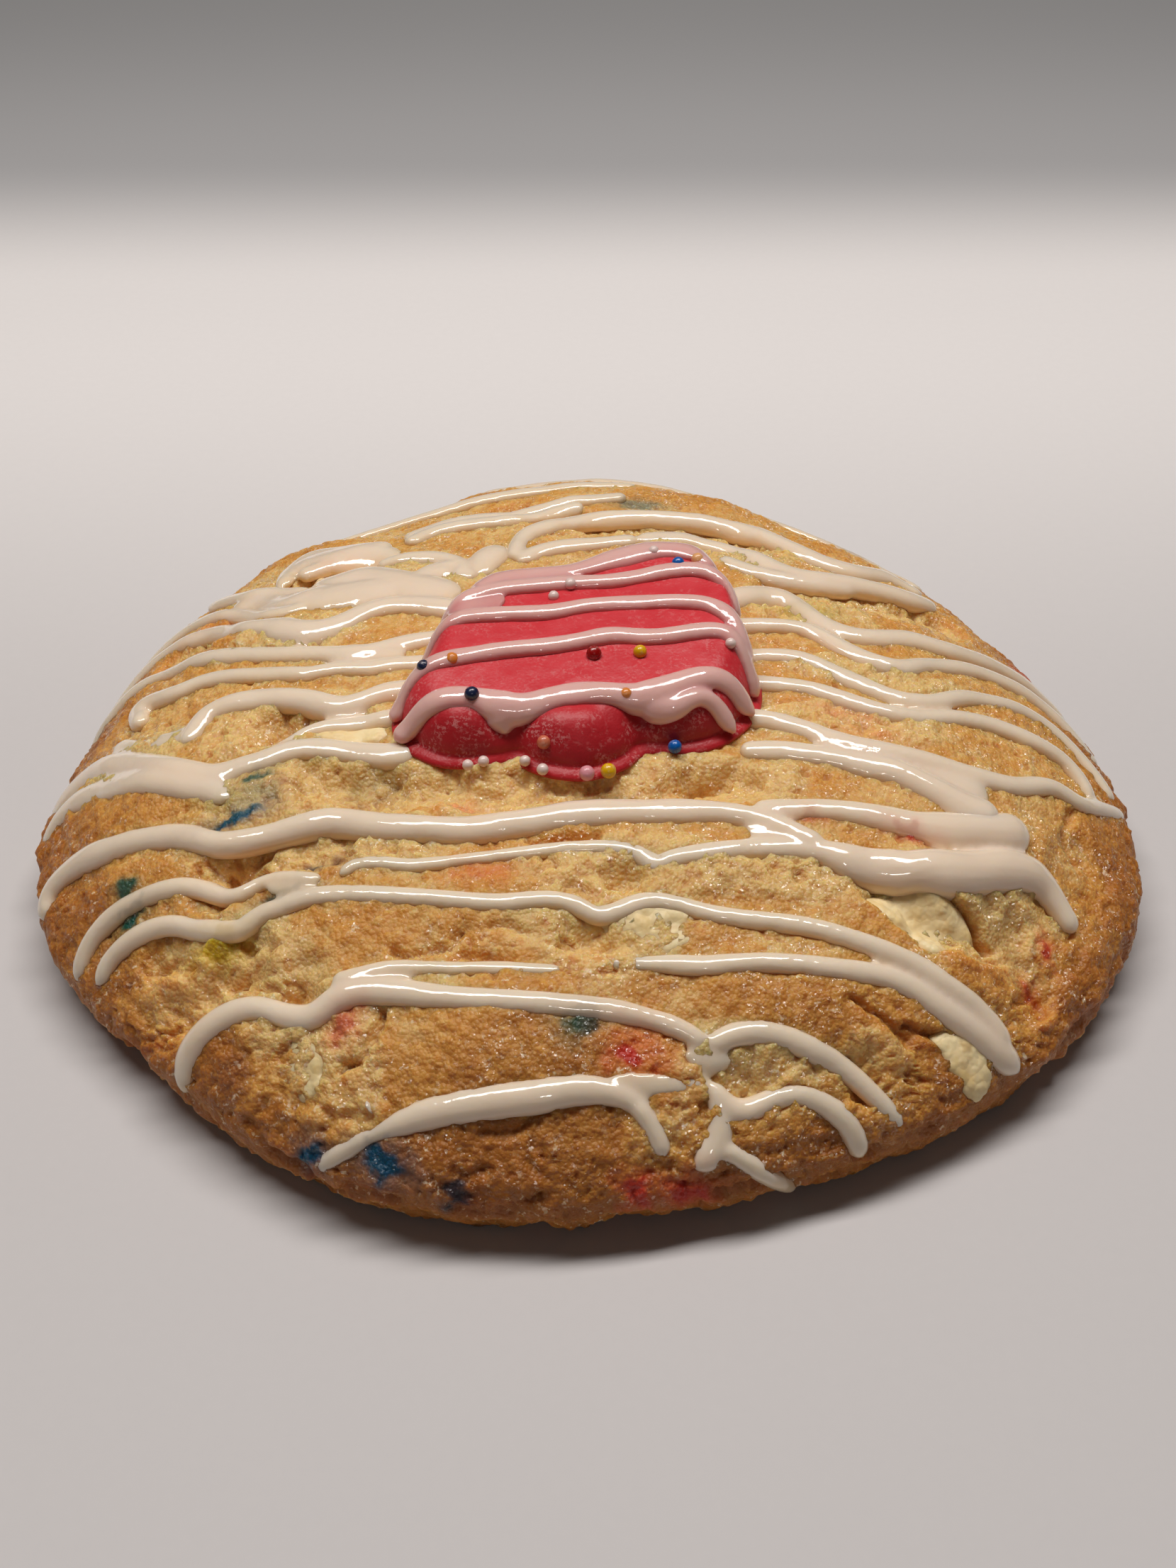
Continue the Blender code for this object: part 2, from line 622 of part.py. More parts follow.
def build():
    clear_scene()
    dough = make_material("baked_dough", (0.55, 0.31, 0.11), 0.6)
    frosting = make_material("pink_frosting", (0.62, 0.06, 0.09), 0.4)
    white = make_material("white_chocolate", (0.86, 0.76, 0.52), 0.45)

    cookie = dough_body(dough)
    strokes = []
    for i, (half, route) in enumerate(STROKES):
        strokes.append(stroke_body(f"stroke_{i}", route, half, dough_height, dough_limit, dough))
    boolean_all(cookie, strokes, "UNION", "EXACT")
    cuts = [biscuit_seat(dough)]
    for i, chunk in enumerate(CHUNKS):
        cuts.append(chunk_body(f"pocket_{i}", chunk, GAP, dough))
    boolean_all(cookie, cuts, "DIFFERENCE", "EXACT")
    tidy(cookie)

    biscuit = biscuit_body(frosting)
    toppings = []
    for i, (half, route) in enumerate(BISCUIT_STROKES):
        toppings.append(stroke_body(f"topping_{i}", route, half, biscuit_height, biscuit_limit, frosting))
    for i, spot in enumerate(BALLS):
        x, y = biscuit_limit(*spot)
        z = biscuit_height(x, y) + 0.25
        toppings.append(ball_body(f"ball_{i}", x, y, z, BALL_RADIUS, frosting))
    boolean_all(biscuit, toppings, "UNION", "EXACT")
    tidy(biscuit)

    for i, chunk in enumerate(CHUNKS):
        chunk_body(f"white_chunk_{i + 1}", chunk, 0.0, white)


build()
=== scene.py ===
"""The looks of a birthday cake cookie: baked dough, drizzled icing, a frosted biscuit and chunks."""

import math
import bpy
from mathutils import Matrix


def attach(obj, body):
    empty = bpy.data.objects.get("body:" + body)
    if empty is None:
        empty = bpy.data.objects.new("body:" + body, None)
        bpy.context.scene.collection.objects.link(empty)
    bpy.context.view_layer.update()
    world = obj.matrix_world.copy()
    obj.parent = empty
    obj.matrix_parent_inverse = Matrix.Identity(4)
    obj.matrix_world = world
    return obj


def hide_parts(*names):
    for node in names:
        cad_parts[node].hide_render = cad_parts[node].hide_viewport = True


bl_info = {
    "name": "Birthday cake cookie",
    "version": (1, 0, 0),
    "blender": (4, 5, 0),
    "location": "3D View > Sidebar > Cookie",
    "description": "Makes a drizzled cookie with a frosted biscuit on top",
    "category": "Add Mesh",
}

import bpy
import bmesh
import numpy as np
from bpy.props import FloatProperty, FloatVectorProperty, IntProperty, PointerProperty
from mathutils import Vector

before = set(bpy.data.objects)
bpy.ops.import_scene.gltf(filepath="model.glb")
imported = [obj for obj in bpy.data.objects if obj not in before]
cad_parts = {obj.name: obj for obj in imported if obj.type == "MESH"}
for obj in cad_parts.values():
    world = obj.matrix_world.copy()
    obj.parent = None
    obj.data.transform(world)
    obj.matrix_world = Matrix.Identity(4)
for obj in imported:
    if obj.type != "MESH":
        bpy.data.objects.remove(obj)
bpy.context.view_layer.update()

# The tables and the functions below are in millimetres, and to_frame turns points into metres
MM = 0.001

# Middle of the outline's box, from the middle of its waves
MIDDLE = (1.47, 1.35)

# Uneven outline of the cookie: shares of the radius, for 1 to 7 waves around
WAVES_COS = (0.025, -0.005, 0.0, 0.009, 0.0, -0.009, 0.003)
WAVES_SIN = (-0.004, -0.001, -0.025, -0.014, -0.002, 0.006, -0.009)

# Section of the dome, and how far the foot draws in under the rim
DOME_POWER = 3.4
EDGE_POWER = 1.2
FOOT_RATIO = 0.92
# Shares of the radius from 1 to 1 + SIDE_SPAN run down the side
SIDE_SPAN = 0.1
SIDE_ROWS = 14
RELIEF_FADE = 0.08

# Marks in the skin of the dough
LARGE_GRAIN = 1.45
SMALL_GRAIN = 0.72
PIT_DEPTH = 0.42
CRACKLE_DEPTH = 0.12
NOTCH_DEPTH = 0.8

# Icing: sides of a bead, spacing of its points and how deep its middle lies, as a share of its height
BEAD_SIDES = 14
BEAD_STEP = 0.5
ICING_LIFT = -0.2
BISCUIT_ICING_LIFT = -0.1
SOFTEN_PASSES = 4
# Lowest that icing hangs above the floor, in metres
DRIP_CLEARANCE = 0.0001

BISCUIT_CENTRE = (1.0, -5.0)
BISCUIT_RINGS = 74
BISCUIT_ANGLES = 720
# Rim of the biscuit's thin foot: how far out, share of the foot's height
FOOT_ROWS = ((-0.7, 0.86), (-0.35, 0.72), (-0.1, 0.55), (0.0, 0.38), (-0.05, 0.2), (-0.25, 0.06), (-0.7, 0.0))
CHUNK_RINGS = 26
CHUNK_DEPTH = 1.2

# Browned mounds of the dough: x, y, half width, half depth, height
MOUNDS = (
    (-4, -42, 14, 6.5, 1.0),
    (18, -37, 13, 4.5, 0.9),
    (-39, -13, 8, 5, 0.9),
    (-39, -21, 8, 3, 0.6),
    (-30, -38, 7, 5, 0.7),
    (30, -26, 8, 4, 0.7),
    (34, -32, 7, 4, 0.6),
    (33, 8, 9, 4, 0.5),
    (30, 0, 10, 4, 0.4),
    (-30, 8, 9, 4, 0.5),
    (-28, 28, 9, 5, 1.2),
    (12, 34, 12, 5, 0.8),
    (43, -8, 5, 7, 0.5),
    (-10, 38, 8, 5, 0.7),
    (26, 24, 7, 5, 0.6),
    (-12, -21, 7, 3, 0.5),
    (12, -27, 6, 3, 0.5),
)

# Hollows: x, y, half width, half depth, depth
HOLLOWS = (
    (-25, -8, 5.0, 3.2, 2.4),
    (4, -28, 3.2, 2.8, 1.5),
    (1, -33.2, 3.4, 2.6, 1.4),
    (-22, -34.5, 3.2, 2.6, 2.0),
    (-28, -22.9, 3.2, 2.4, 1.6),
    (-33, -28.6, 3.6, 2.4, 1.7),
    (-27, -31.8, 4.4, 3.2, 2.1),
    (13, -42.6, 3.4, 2.4, 1.7),
    (22, -41, 3.4, 2.4, 1.6),
    (-20, -8.5, 3.6, 2.6, 1.3),
    (16, 22, 5, 3.0, 1.4),
    (10.5, -16.4, 4.2, 2.6, 1.6),
    (38, -31, 3.4, 3.0, 1.4),
)

# Fissures: half width, depth, then points along the bottom
FISSURES = (
    (2.0, 0.35, ((-16, -33.6), (-10, -34.3), (-3, -34.2), (2, -34), (7, -33.4))),
    (1.8, 1.9, ((25, -26.2), (29, -28.8), (33, -29.6), (36, -28))),
    (2.2, 1.0, ((45, -17), (43, -21), (40.5, -25), (38, -29), (35, -33))),
    (1.8, 1.6, ((-38, -31), (-35, -33.5), (-31, -33))),
    (1.9, 1.4, ((-30, -24), (-25, -22.8), (-20, -22.8))),
    (1.9, 1.5, ((-22, -16), (-14, -18.4), (-4, -18.8), (6, -18.6), (14, -17))),
    (2.0, 1.4, ((20, 12), (28, 13), (36, 14))),
    (2.0, 1.4, ((-38, 10), (-30, 15), (-20, 20))),
    (2.0, 1.6, ((-6, 30), (4, 25), (16, 25))),
    (2.0, 1.4, ((-30, 33), (-22, 38), (-12, 42))),
    (2.0, 1.4, ((14, 40), (24, 36), (32, 30))),
)

# Small open cracks, their insides darkened by painted shade: half width, depth, points
CRACKS = (
    (0.45, 1.6, ((27.6, -25.6), (29.6, -26.6), (31.6, -27.2), (33.4, -28.6))),
    (0.35, 0.5, ((-6.6, -46.9), (-4.4, -46.3), (-2.6, -46))),
    (0.3, 0.3, ((-3.4, -46.2), (-3.2, -47.6), (-2.6, -48.6))),
    (0.5, 0.7, ((-10.6, -48.8), (-8.6, -49.4), (-6.6, -48.9))),
    (0.3, 0.7, ((-14.2, -33.7), (-11.8, -33.8), (-10.2, -34.3), (-8.9, -33.1))),
    (0.35, 0.8, ((-9.8, -34.9), (-7.6, -34.9), (-5.2, -35.2))),
    (0.3, 0.4, ((-7, -32.2), (-4, -32.8), (-2, -32.6))),
    (0.35, 1.0, ((-36, -33.2), (-34, -33.8), (-32.4, -33.2))),
    (0.3, 0.8, ((44, -12), (43.4, -15), (44.4, -18))),
    (0.3, 0.8, ((-3.5, -19.2), (0, -18.7), (3, -19.2))),
    (0.4, 1.2, ((-3, -24.2), (-1, -23.6), (1.5, -23.9))),
    (0.3, 0.8, ((22, -36.9), (26, -37.9), (29, -37.3))),
    (0.35, 1.0, ((-18, -42), (-16.2, -40.6), (-15.5, -38.6))),
)

# Patches of pale open crumb: x, y, half width, half depth
CRUMB_PATCHES = (
    (-18, -16, 15, 4.5),
    (-4, -19, 10, 3.4),
    (10, -17.2, 9, 3.2),
    (-20, -23.2, 10, 2.6),
    (3, -27.5, 8, 3.4),
    (14, -26.8, 9, 2.6),
    (32, -26.4, 8.5, 4.5),
    (2, -33.5, 7, 3.2),
    (-29, -31.5, 8, 4.6),
    (-23, -36.5, 4.5, 4.6),
    (14, -42.5, 7, 3.2),
    (24, -41.5, 6, 3.0),
    (-24, -8, 9, 4.5),
    (22, 9, 7, 3.0),
    (24, -8.5, 10, 2.4),
    (-18.5, -41.5, 4, 5),
    (-40, -7, 6, 4),
    (28, -1.0, 9, 1.8),
    (-27, 6, 8, 2.6),
    (-17, 15, 9, 5),
    (15, 20, 8, 4),
    (36, -35, 5, 4),
    (8, -46.5, 5, 3),
)

# Stains of the coloured flecks: x, y, half width, half depth, turn, strength, colour name
FLECKS = (
    (-28.4, -18.4, 3.2, 0.8, 8, 1.0, "blue"),
    (-27.5, -16.6, 3.2, 2.2, 0, 0.4, "teal"),
    (-27.4, -14.3, 1.6, 0.6, 20, 0.9, "green"),
    (-17, -16.4, 3.0, 2.0, 0, 0.22, "green"),
    (-38.1, -21.8, 1.3, 1.0, 0, 0.95, "green"),
    (-37.5, -24.2, 1.7, 0.9, 15, 1.0, "green"),
    (-24.0, -27.1, 2.6, 0.8, 5, 0.8, "teal"),
    (-21.6, -24.5, 1.2, 0.7, 0, 0.8, "navy"),
    (-19.0, -24.4, 1.3, 0.8, 30, 0.8, "plum"),
    (-7.5, -27.4, 3.0, 1.2, 0, 0.3, "red"),
    (-9.5, -19.9, 1.8, 0.9, 0, 0.35, "red"),
    (-29.0, -29.4, 2.2, 1.0, 0, 0.95, "yellow"),
    (-18.0, -38.5, 1.5, 1.1, 30, 0.75, "red"),
    (-27, -39, 1.8, 1.4, 0, 0.3, "plum"),
    (-20.6, -45.6, 1.7, 1.0, -10, 1.0, "blue"),
    (-14.7, -47.2, 2.6, 0.9, -22, 1.0, "blue"),
    (-9.2, -49.6, 1.2, 0.5, -10, 0.9, "navy"),
    (0.6, -40.2, 2.0, 1.5, 10, 0.95, "green"),
    (4.0, -42.3, 1.5, 1.0, -20, 1.0, "red"),
    (4.8, -41.4, 3.2, 2.2, -20, 0.35, "red"),
    (4.6, -49.0, 1.3, 0.8, 0, 0.95, "red"),
    (8.6, -48.8, 2.0, 0.9, 0, 1.0, "red"),
    (19.8, -21.2, 1.6, 0.6, -8, 0.9, "orange"),
    (27.8, -21.4, 1.9, 0.7, -8, 1.0, "red"),
    (26, -10.2, 2.6, 0.8, -10, 0.4, "orange"),
    (24.0, -7.6, 4.0, 1.2, -10, 0.22, "red"),
    (39.4, -27, 0.8, 1.1, 0, 0.9, "red"),
    (37.2, -30.5, 0.9, 0.8, 0, 0.8, "red"),
    (4.0, -19.2, 2.2, 0.6, 0, 0.7, "green"),
    (7, 31, 3.0, 1.6, 0, 0.6, "teal"),
    (22.6, 38.4, 2.6, 2.0, -20, 0.9, "green"),
    (22, 8.6, 4.0, 1.6, 0, 0.3, "lime"),
    (-30, -16.4, 2.4, 1.4, 0, 0.35, "lime"),
    (-36, 14.4, 3.6, 1.6, 15, 0.28, "orange"),
    (-24, 20, 3.0, 1.2, 10, 0.35, "orange"),
    (-6, 44.5, 2.2, 1.4, 0, 0.8, "red"),
    (30, 33, 2.2, 1.4, -40, 0.6, "blue"),
    (-30, 36, 2.2, 1.4, 40, 0.7, "green"),
    (46, 16, 1.4, 1.8, 0, 0.7, "red"),
    (-46.5, 8, 1.2, 2.0, 0, 0.5, "teal"),
)
STAIN_COLOURS = {
    "blue": (0.0, 0.085, 0.17),
    "navy": (0.006, 0.02, 0.05),
    "teal": (0.01, 0.15, 0.15),
    "green": (0.004, 0.11, 0.07),
    "lime": (0.3, 0.3, 0.02),
    "yellow": (0.85, 0.52, 0.0),
    "orange": (0.8, 0.16, 0.02),
    "red": (0.8, 0.045, 0.02),
    "plum": (0.16, 0.03, 0.02),
}

# Icing strokes on the near side: half width, height over half width, points of the route.
# A third number in a point is the half width there.
NEAR_STROKES = (
    (1.2, 0.85, ((-20.1, -46.3, 0.7), (-18.5, -46.2, 0.75), (-16.6, -45.9, 0.75), (-15.4, -45.7, 0.6),
        (-14.5, -45.7, 0.75), (-12.2, -45.4, 1.15), (-9.7, -45.3, 1.25), (-6.8, -45.2, 1.3),
        (-3.2, -45, 1.3), (-0.7, -44.6), (1.4, -44.4, 1.1), (3.6, -44.5, 0.95), (5, -45, 0.8),
        (6.1, -46, 0.75))),
    (0.8, 1.3, ((4.2, -44.7), (5.2, -45.3), (6.1, -46.3), (6.8, -47.4))),
    (1.1, 1.0, ((-16.0, -44.2, 0.9), (-15.6, -44.1, 0.9))),
    (0.8, 0.25, ((2.1, -44.2), (4.3, -43.8, 0.9), (7.6, -43.5), (10.5, -43.1, 0.5))),
    (0.95, 0.85, ((-31.9, -38, 0.8), (-32.1, -36.8, 1), (-31.3, -36, 1.1), (-29.7, -35.4, 1.1),
        (-27.5, -35.1, 1.05), (-25.1, -35.4, 1), (-23.5, -36.1, 1), (-21.8, -37.2, 1.1),
        (-20.4, -37.6, 1.1), (-19.5, -37, 1.1), (-18, -36.4, 1.2), (-15.4, -36.6, 1.15),
        (-12.4, -37.4, 1), (-8.7, -38.3), (-5, -38.8, 0.9), (-1.4, -39.1), (2.2, -39.2),
        (5.1, -39.4, 0.9), (7.6, -39.8, 0.85), (9.3, -40.4, 0.8), (10, -40.9, 0.8))),
    (0.6, 0.8, ((-19.1, -35.4, 0.8), (-16.8, -35.2, 0.8), (-14.4, -35, 0.75), (-11.6, -35.3),
        (-9.9, -35.6, 0.62), (-6.9, -35.8, 0.62), (-4.4, -36.0, 0.62), (-1, -36.2, 0.55))),
    (0.9, 0.85, ((10.2, -40.9, 0.8), (11, -40.5, 0.85), (12.5, -39.9, 0.95), (14.2, -39.7, 0.95),
        (16.4, -39.8, 0.95), (18.7, -40.3, 0.95), (20.6, -40.5), (22.5, -41.3, 0.85), (24.3, -42.3, 0.8),
        (25.6, -42.9, 0.75))),
    (0.9, 0.85, ((10.3, -43.0, 0.8), (11.6, -44.2, 0.95), (12.9, -44.3, 1.0), (14.4, -43.6, 0.95),
        (16.1, -43.1), (18, -42.9, 0.85), (19.8, -43.2, 0.9), (21.5, -43.9, 0.9), (22.7, -45.2, 0.85))),
    (0.75, 1.1, ((11.0, -46.4, 0.9), (12.4, -46.7), (14.2, -47.1), (16.6, -47.8), (18.4, -48.5, 0.6))),
    (0.8, 0.75, ((9.0, -47.7, 0.7), (10.2, -47.0, 1.2), (11.1, -46.0, 1.1), (11.1, -44.4, 0.8),
        (10.7, -43.0, 0.9))),
    (0.85, 0.85, ((2.6, -35.4, 0.5), (4.8, -35.4, 0.6), (7.8, -35.3, 0.8), (10, -35.5), (13.3, -35.1),
        (17.1, -34.8), (20.9, -34.6, 0.9), (24, -34.3, 0.95), (26.7, -34.5, 1), (29, -35.2, 1.1),
        (31.3, -35.8, 1.2), (33.3, -36.3, 1.3), (34.9, -36.7, 1.3), (36, -36.8, 1.3))),
    (0.8, 0.85, ((-40.1, -27.5), (-39.6, -26.5, 0.85), (-37.8, -25.9, 0.9), (-35.4, -25.8, 0.9),
        (-33, -26.4, 0.9), (-30.5, -27.7, 0.95), (-27.8, -28.9, 1), (-26.4, -28.8, 0.95),
        (-25.7, -28.1, 0.85), (-23.6, -28.1), (-21.8, -27.8), (-18.8, -28.1), (-12, -29.6), (-6.4, -30.5),
        (-2, -30.3), (0.1, -30.7), (1.8, -31.6), (3.3, -31.3), (4.7, -30.6, 0.85), (5.9, -30.2),
        (8.2, -30.4, 0.75), (10.4, -31), (12.8, -31.3, 0.85), (16.2, -31.3, 0.85), (19.2, -31.4, 0.85),
        (21.9, -31.8, 0.85), (24.5, -32.2, 0.9), (27.6, -32.8, 0.9), (29.9, -33.7, 0.95),
        (32.1, -34.4, 1), (33.9, -35.3, 1.2), (34.9, -36.3, 1.3))),
    (0.85, 0.85, ((-42.4, -25.7, 0.75), (-42.1, -24.6), (-40.6, -23.5, 0.9), (-38.1, -23, 0.9),
        (-35.4, -23, 0.9), (-32.9, -23.3, 0.9), (-30.9, -23.9, 0.9), (-28.8, -25.4), (-27.4, -26, 0.8),
        (-26, -25, 0.75), (-24.1, -25.2, 0.7), (-22.2, -25.9, 0.6), (-20.5, -26.3, 0.5))),
    (0.9, 0.4, ((-25.2, -26.0, 0.7), (-23.4, -26.2, 0.9), (-21.0, -26.5, 0.6))),
    (1.2, 0.5, ((8.4, -41.6, 0.9), (10.2, -41.6, 1.3), (12.0, -41.4, 0.9))),
    (0.65, 0.85, ((-19, -26.5, 0.5), (-18.4, -25.6, 0.6), (-16.1, -25.7), (-13.4, -26.4),
        (-10.3, -26.4, 0.6), (-7.6, -26.2, 0.6), (-4.6, -25.9), (-0.8, -25.4), (2.9, -25.2, 0.7),
        (5.1, -25.7, 0.75), (6.3, -26.6, 0.8), (7, -27.4, 0.8))),
    (1, 0.85, ((6.7, -27.1, 0.8), (7.5, -26.4, 0.9), (9.4, -26, 0.9), (11.9, -25.5, 0.95), (15.9, -24.5),
        (19.8, -24.3, 1.1), (21.7, -24.8, 1.4), (23.6, -25.1, 1.7), (26.7, -25.3, 1.9),
        (31.6, -24.4, 1.95), (36, -22.4, 1.95), (38.9, -21.7, 1.7), (40.6, -22.4, 1.3),
        (41.6, -23.7, 1.05), (42.5, -24.6, 1.1))),
    (1.25, 0.85, ((-46.5, -18.3, 1), (-46.7, -16.1, 1.1), (-44.3, -15.7, 1.2), (-40.6, -16.6),
        (-35.7, -17.7, 1.2), (-32.7, -18.9, 1.2), (-30.1, -20.5, 1.15), (-27.7, -20.9, 1.15),
        (-25.7, -20.8, 1.2), (-22.7, -20.6), (-19.7, -20.6, 1.3), (-16.3, -22), (-12.3, -22.9),
        (-8.5, -23.2, 1.3), (-4.6, -22.7, 1.4), (-0.8, -21.9, 1.4), (3.1, -21.3, 1.4), (7, -21.2, 1.3),
        (10.9, -21.2, 1.2), (14.1, -21.4, 1.1), (16.4, -22, 1.1), (18.2, -23, 1.1), (20.4, -24.1, 1.2))),
    (1.1, 0.8, ((14.8, -21), (18.9, -20.2, 1.05), (22.1, -19.9), (26.1, -20.1, 1.3), (29.7, -20.3, 1.6),
        (33.9, -19.5, 1.9), (37, -18.5, 2), (38.8, -17.4, 1.9))),
    (1.5, 0.4, ((14.1, -22.5, 1.6), (16.6, -23.1), (19.2, -23.3, 1.2))),
)

# Icing strokes on the right of the dome
RIGHT_STROKES = (
    (1, 0.8, ((14.6, -9.2, 0.9), (16.7, -9.3, 0.95), (18.5, -9.8), (21.3, -11, 1.1), (22.9, -12.2, 1.4),
        (26, -12.5, 1.3), (30, -12.6, 1.05), (34.1, -13), (38.1, -12.7, 0.95), (41.1, -11.3, 0.9),
        (43.3, -10.7, 0.8), (45.2, -10.9, 0.75), (48.1, -8.7, 0.8), (50.7, -6.5, 0.7))),
    (1.1, 0.8, ((14.2, -13.6, 0.95), (17.8, -13.4, 1), (20.6, -13.7, 1.05), (23.8, -14.1, 1.2),
        (27, -14.5, 1.3), (28.9, -15.2, 1.3), (31.3, -16.3, 1.4), (34, -17.4, 1.6), (36.4, -17.7, 1.8))),
    (1.6, 0.4, ((23.5, -12.9, 1.2), (26.9, -13.3, 1.4), (30.3, -14.1), (33, -14.7, 1.8),
        (35.7, -15.6, 2))),
    (0.9, 0.8, ((14.8, -4.1, 0.9), (19.9, -4.3, 0.85), (21.9, -4.8), (24.7, -6, 0.95), (27.9, -6.9, 0.95),
        (31.3, -6.5), (35, -5.2), (38.6, -4.7), (42.1, -5.1), (44.7, -5.3, 0.85), (46.3, -7.1, 0.8),
        (46.9, -8.8, 0.7))),
    (0.9, 0.8, ((14.4, -0.2, 0.9), (19.5, 0.4, 0.85), (21.9, -0.7), (23.9, -2), (26.3, -3.3, 0.95),
        (29.1, -4.5, 0.95), (32.1, -4.1, 0.95), (35.6, -1.7, 0.85), (39.5, -0.2, 0.85), (43.5, 0.6, 0.85),
        (46.4, -0.6, 0.8), (48.6, -3, 0.75), (50, -5.4, 0.7))),
    (0.9, 0.8, ((13.8, 4.8, 0.9), (19.9, 5.5), (22.2, 5), (24.4, 2.8, 1), (26.8, 0.7, 1), (29.7, -0, 1),
        (32.6, 2.2), (35.7, 3.8), (39.6, 5.2), (44, 5.6, 0.85), (47.6, 4.4, 0.8), (50.2, 1.6, 0.7))),
    (1.1, 0.75, ((13, 8.5, 1.3), (16.7, 10.6, 1.4), (19.1, 11.7, 1.5), (20.9, 10.9, 1.3), (22.7, 7.2),
        (25.2, 5.5), (28.2, 5.4), (31.5, 6.4), (35.2, 6.6, 1), (40.2, 8.4, 0.95), (44.2, 9.4, 0.9),
        (48.2, 9, 0.85), (51, 7.2, 0.8))),
)

# Icing strokes on the far side of the dome
FAR_STROKES = (
    (0.95, 0.7, ((-5.2, 16.3, 0.8), (-3.9, 18.1), (-1.1, 19.4, 1), (2.6, 20, 0.9), (6.4, 21, 0.8))),
    (1, 0.7, ((-5.7, 17.1, 0.8), (-5.4, 20.1, 0.9), (-4.5, 22.5), (-2.8, 23.8), (0.8, 26.3),
        (5.6, 27.2, 0.95), (10.5, 27.4, 0.95), (14.4, 27.4), (18.1, 26.2, 1.1), (21.6, 22.8, 1.1),
        (24.2, 20.6, 1.1), (27.9, 19.8, 1.1), (32, 21.8), (35.5, 21.1, 0.8))),
    (1.1, 0.7, ((6.4, 20.9, 0.9), (9.4, 21.7), (12.1, 21.9), (15.8, 20.6), (19.2, 17.3), (22.7, 15.7),
        (26.4, 16.1), (29.8, 16.7), (33.3, 17.4), (36.4, 18.6, 0.8))),
    (0.9, 0.7, ((14.2, 17.7, 0.8), (18.1, 15.2), (21.7, 14.7), (24.9, 15), (27.7, 15.5, 0.8))),
    (0.85, 0.7, ((-17, 24.4, 0.7), (-14.6, 26.1), (-11.8, 27.4, 0.9), (-7.8, 27.4, 0.9), (-4.6, 29.3),
        (-1.1, 30.6), (2.8, 31.8, 0.8), (5.7, 32.2, 0.7))),
    (0.85, 0.65, ((-26, 31.4, 0.7), (-20, 33.6), (-14, 34.4), (-7, 35.4), (0, 37.6), (7, 38.6, 0.7))),
    (0.85, 0.65, ((15, 38, 0.7), (21, 36.6), (27, 33.8), (33, 31.6), (37, 28.6, 0.7))),
    (1, 0.65, ((-24, 38.4, 0.8), (-17, 39.6), (-9, 41), (-2, 43), (5, 44), (11, 43.6), (16, 43.4, 0.8))),
    (0.9, 0.65, ((-16, 44, 0.7), (-9, 45.4), (-3, 47.6), (2, 48.4, 0.7))),
)

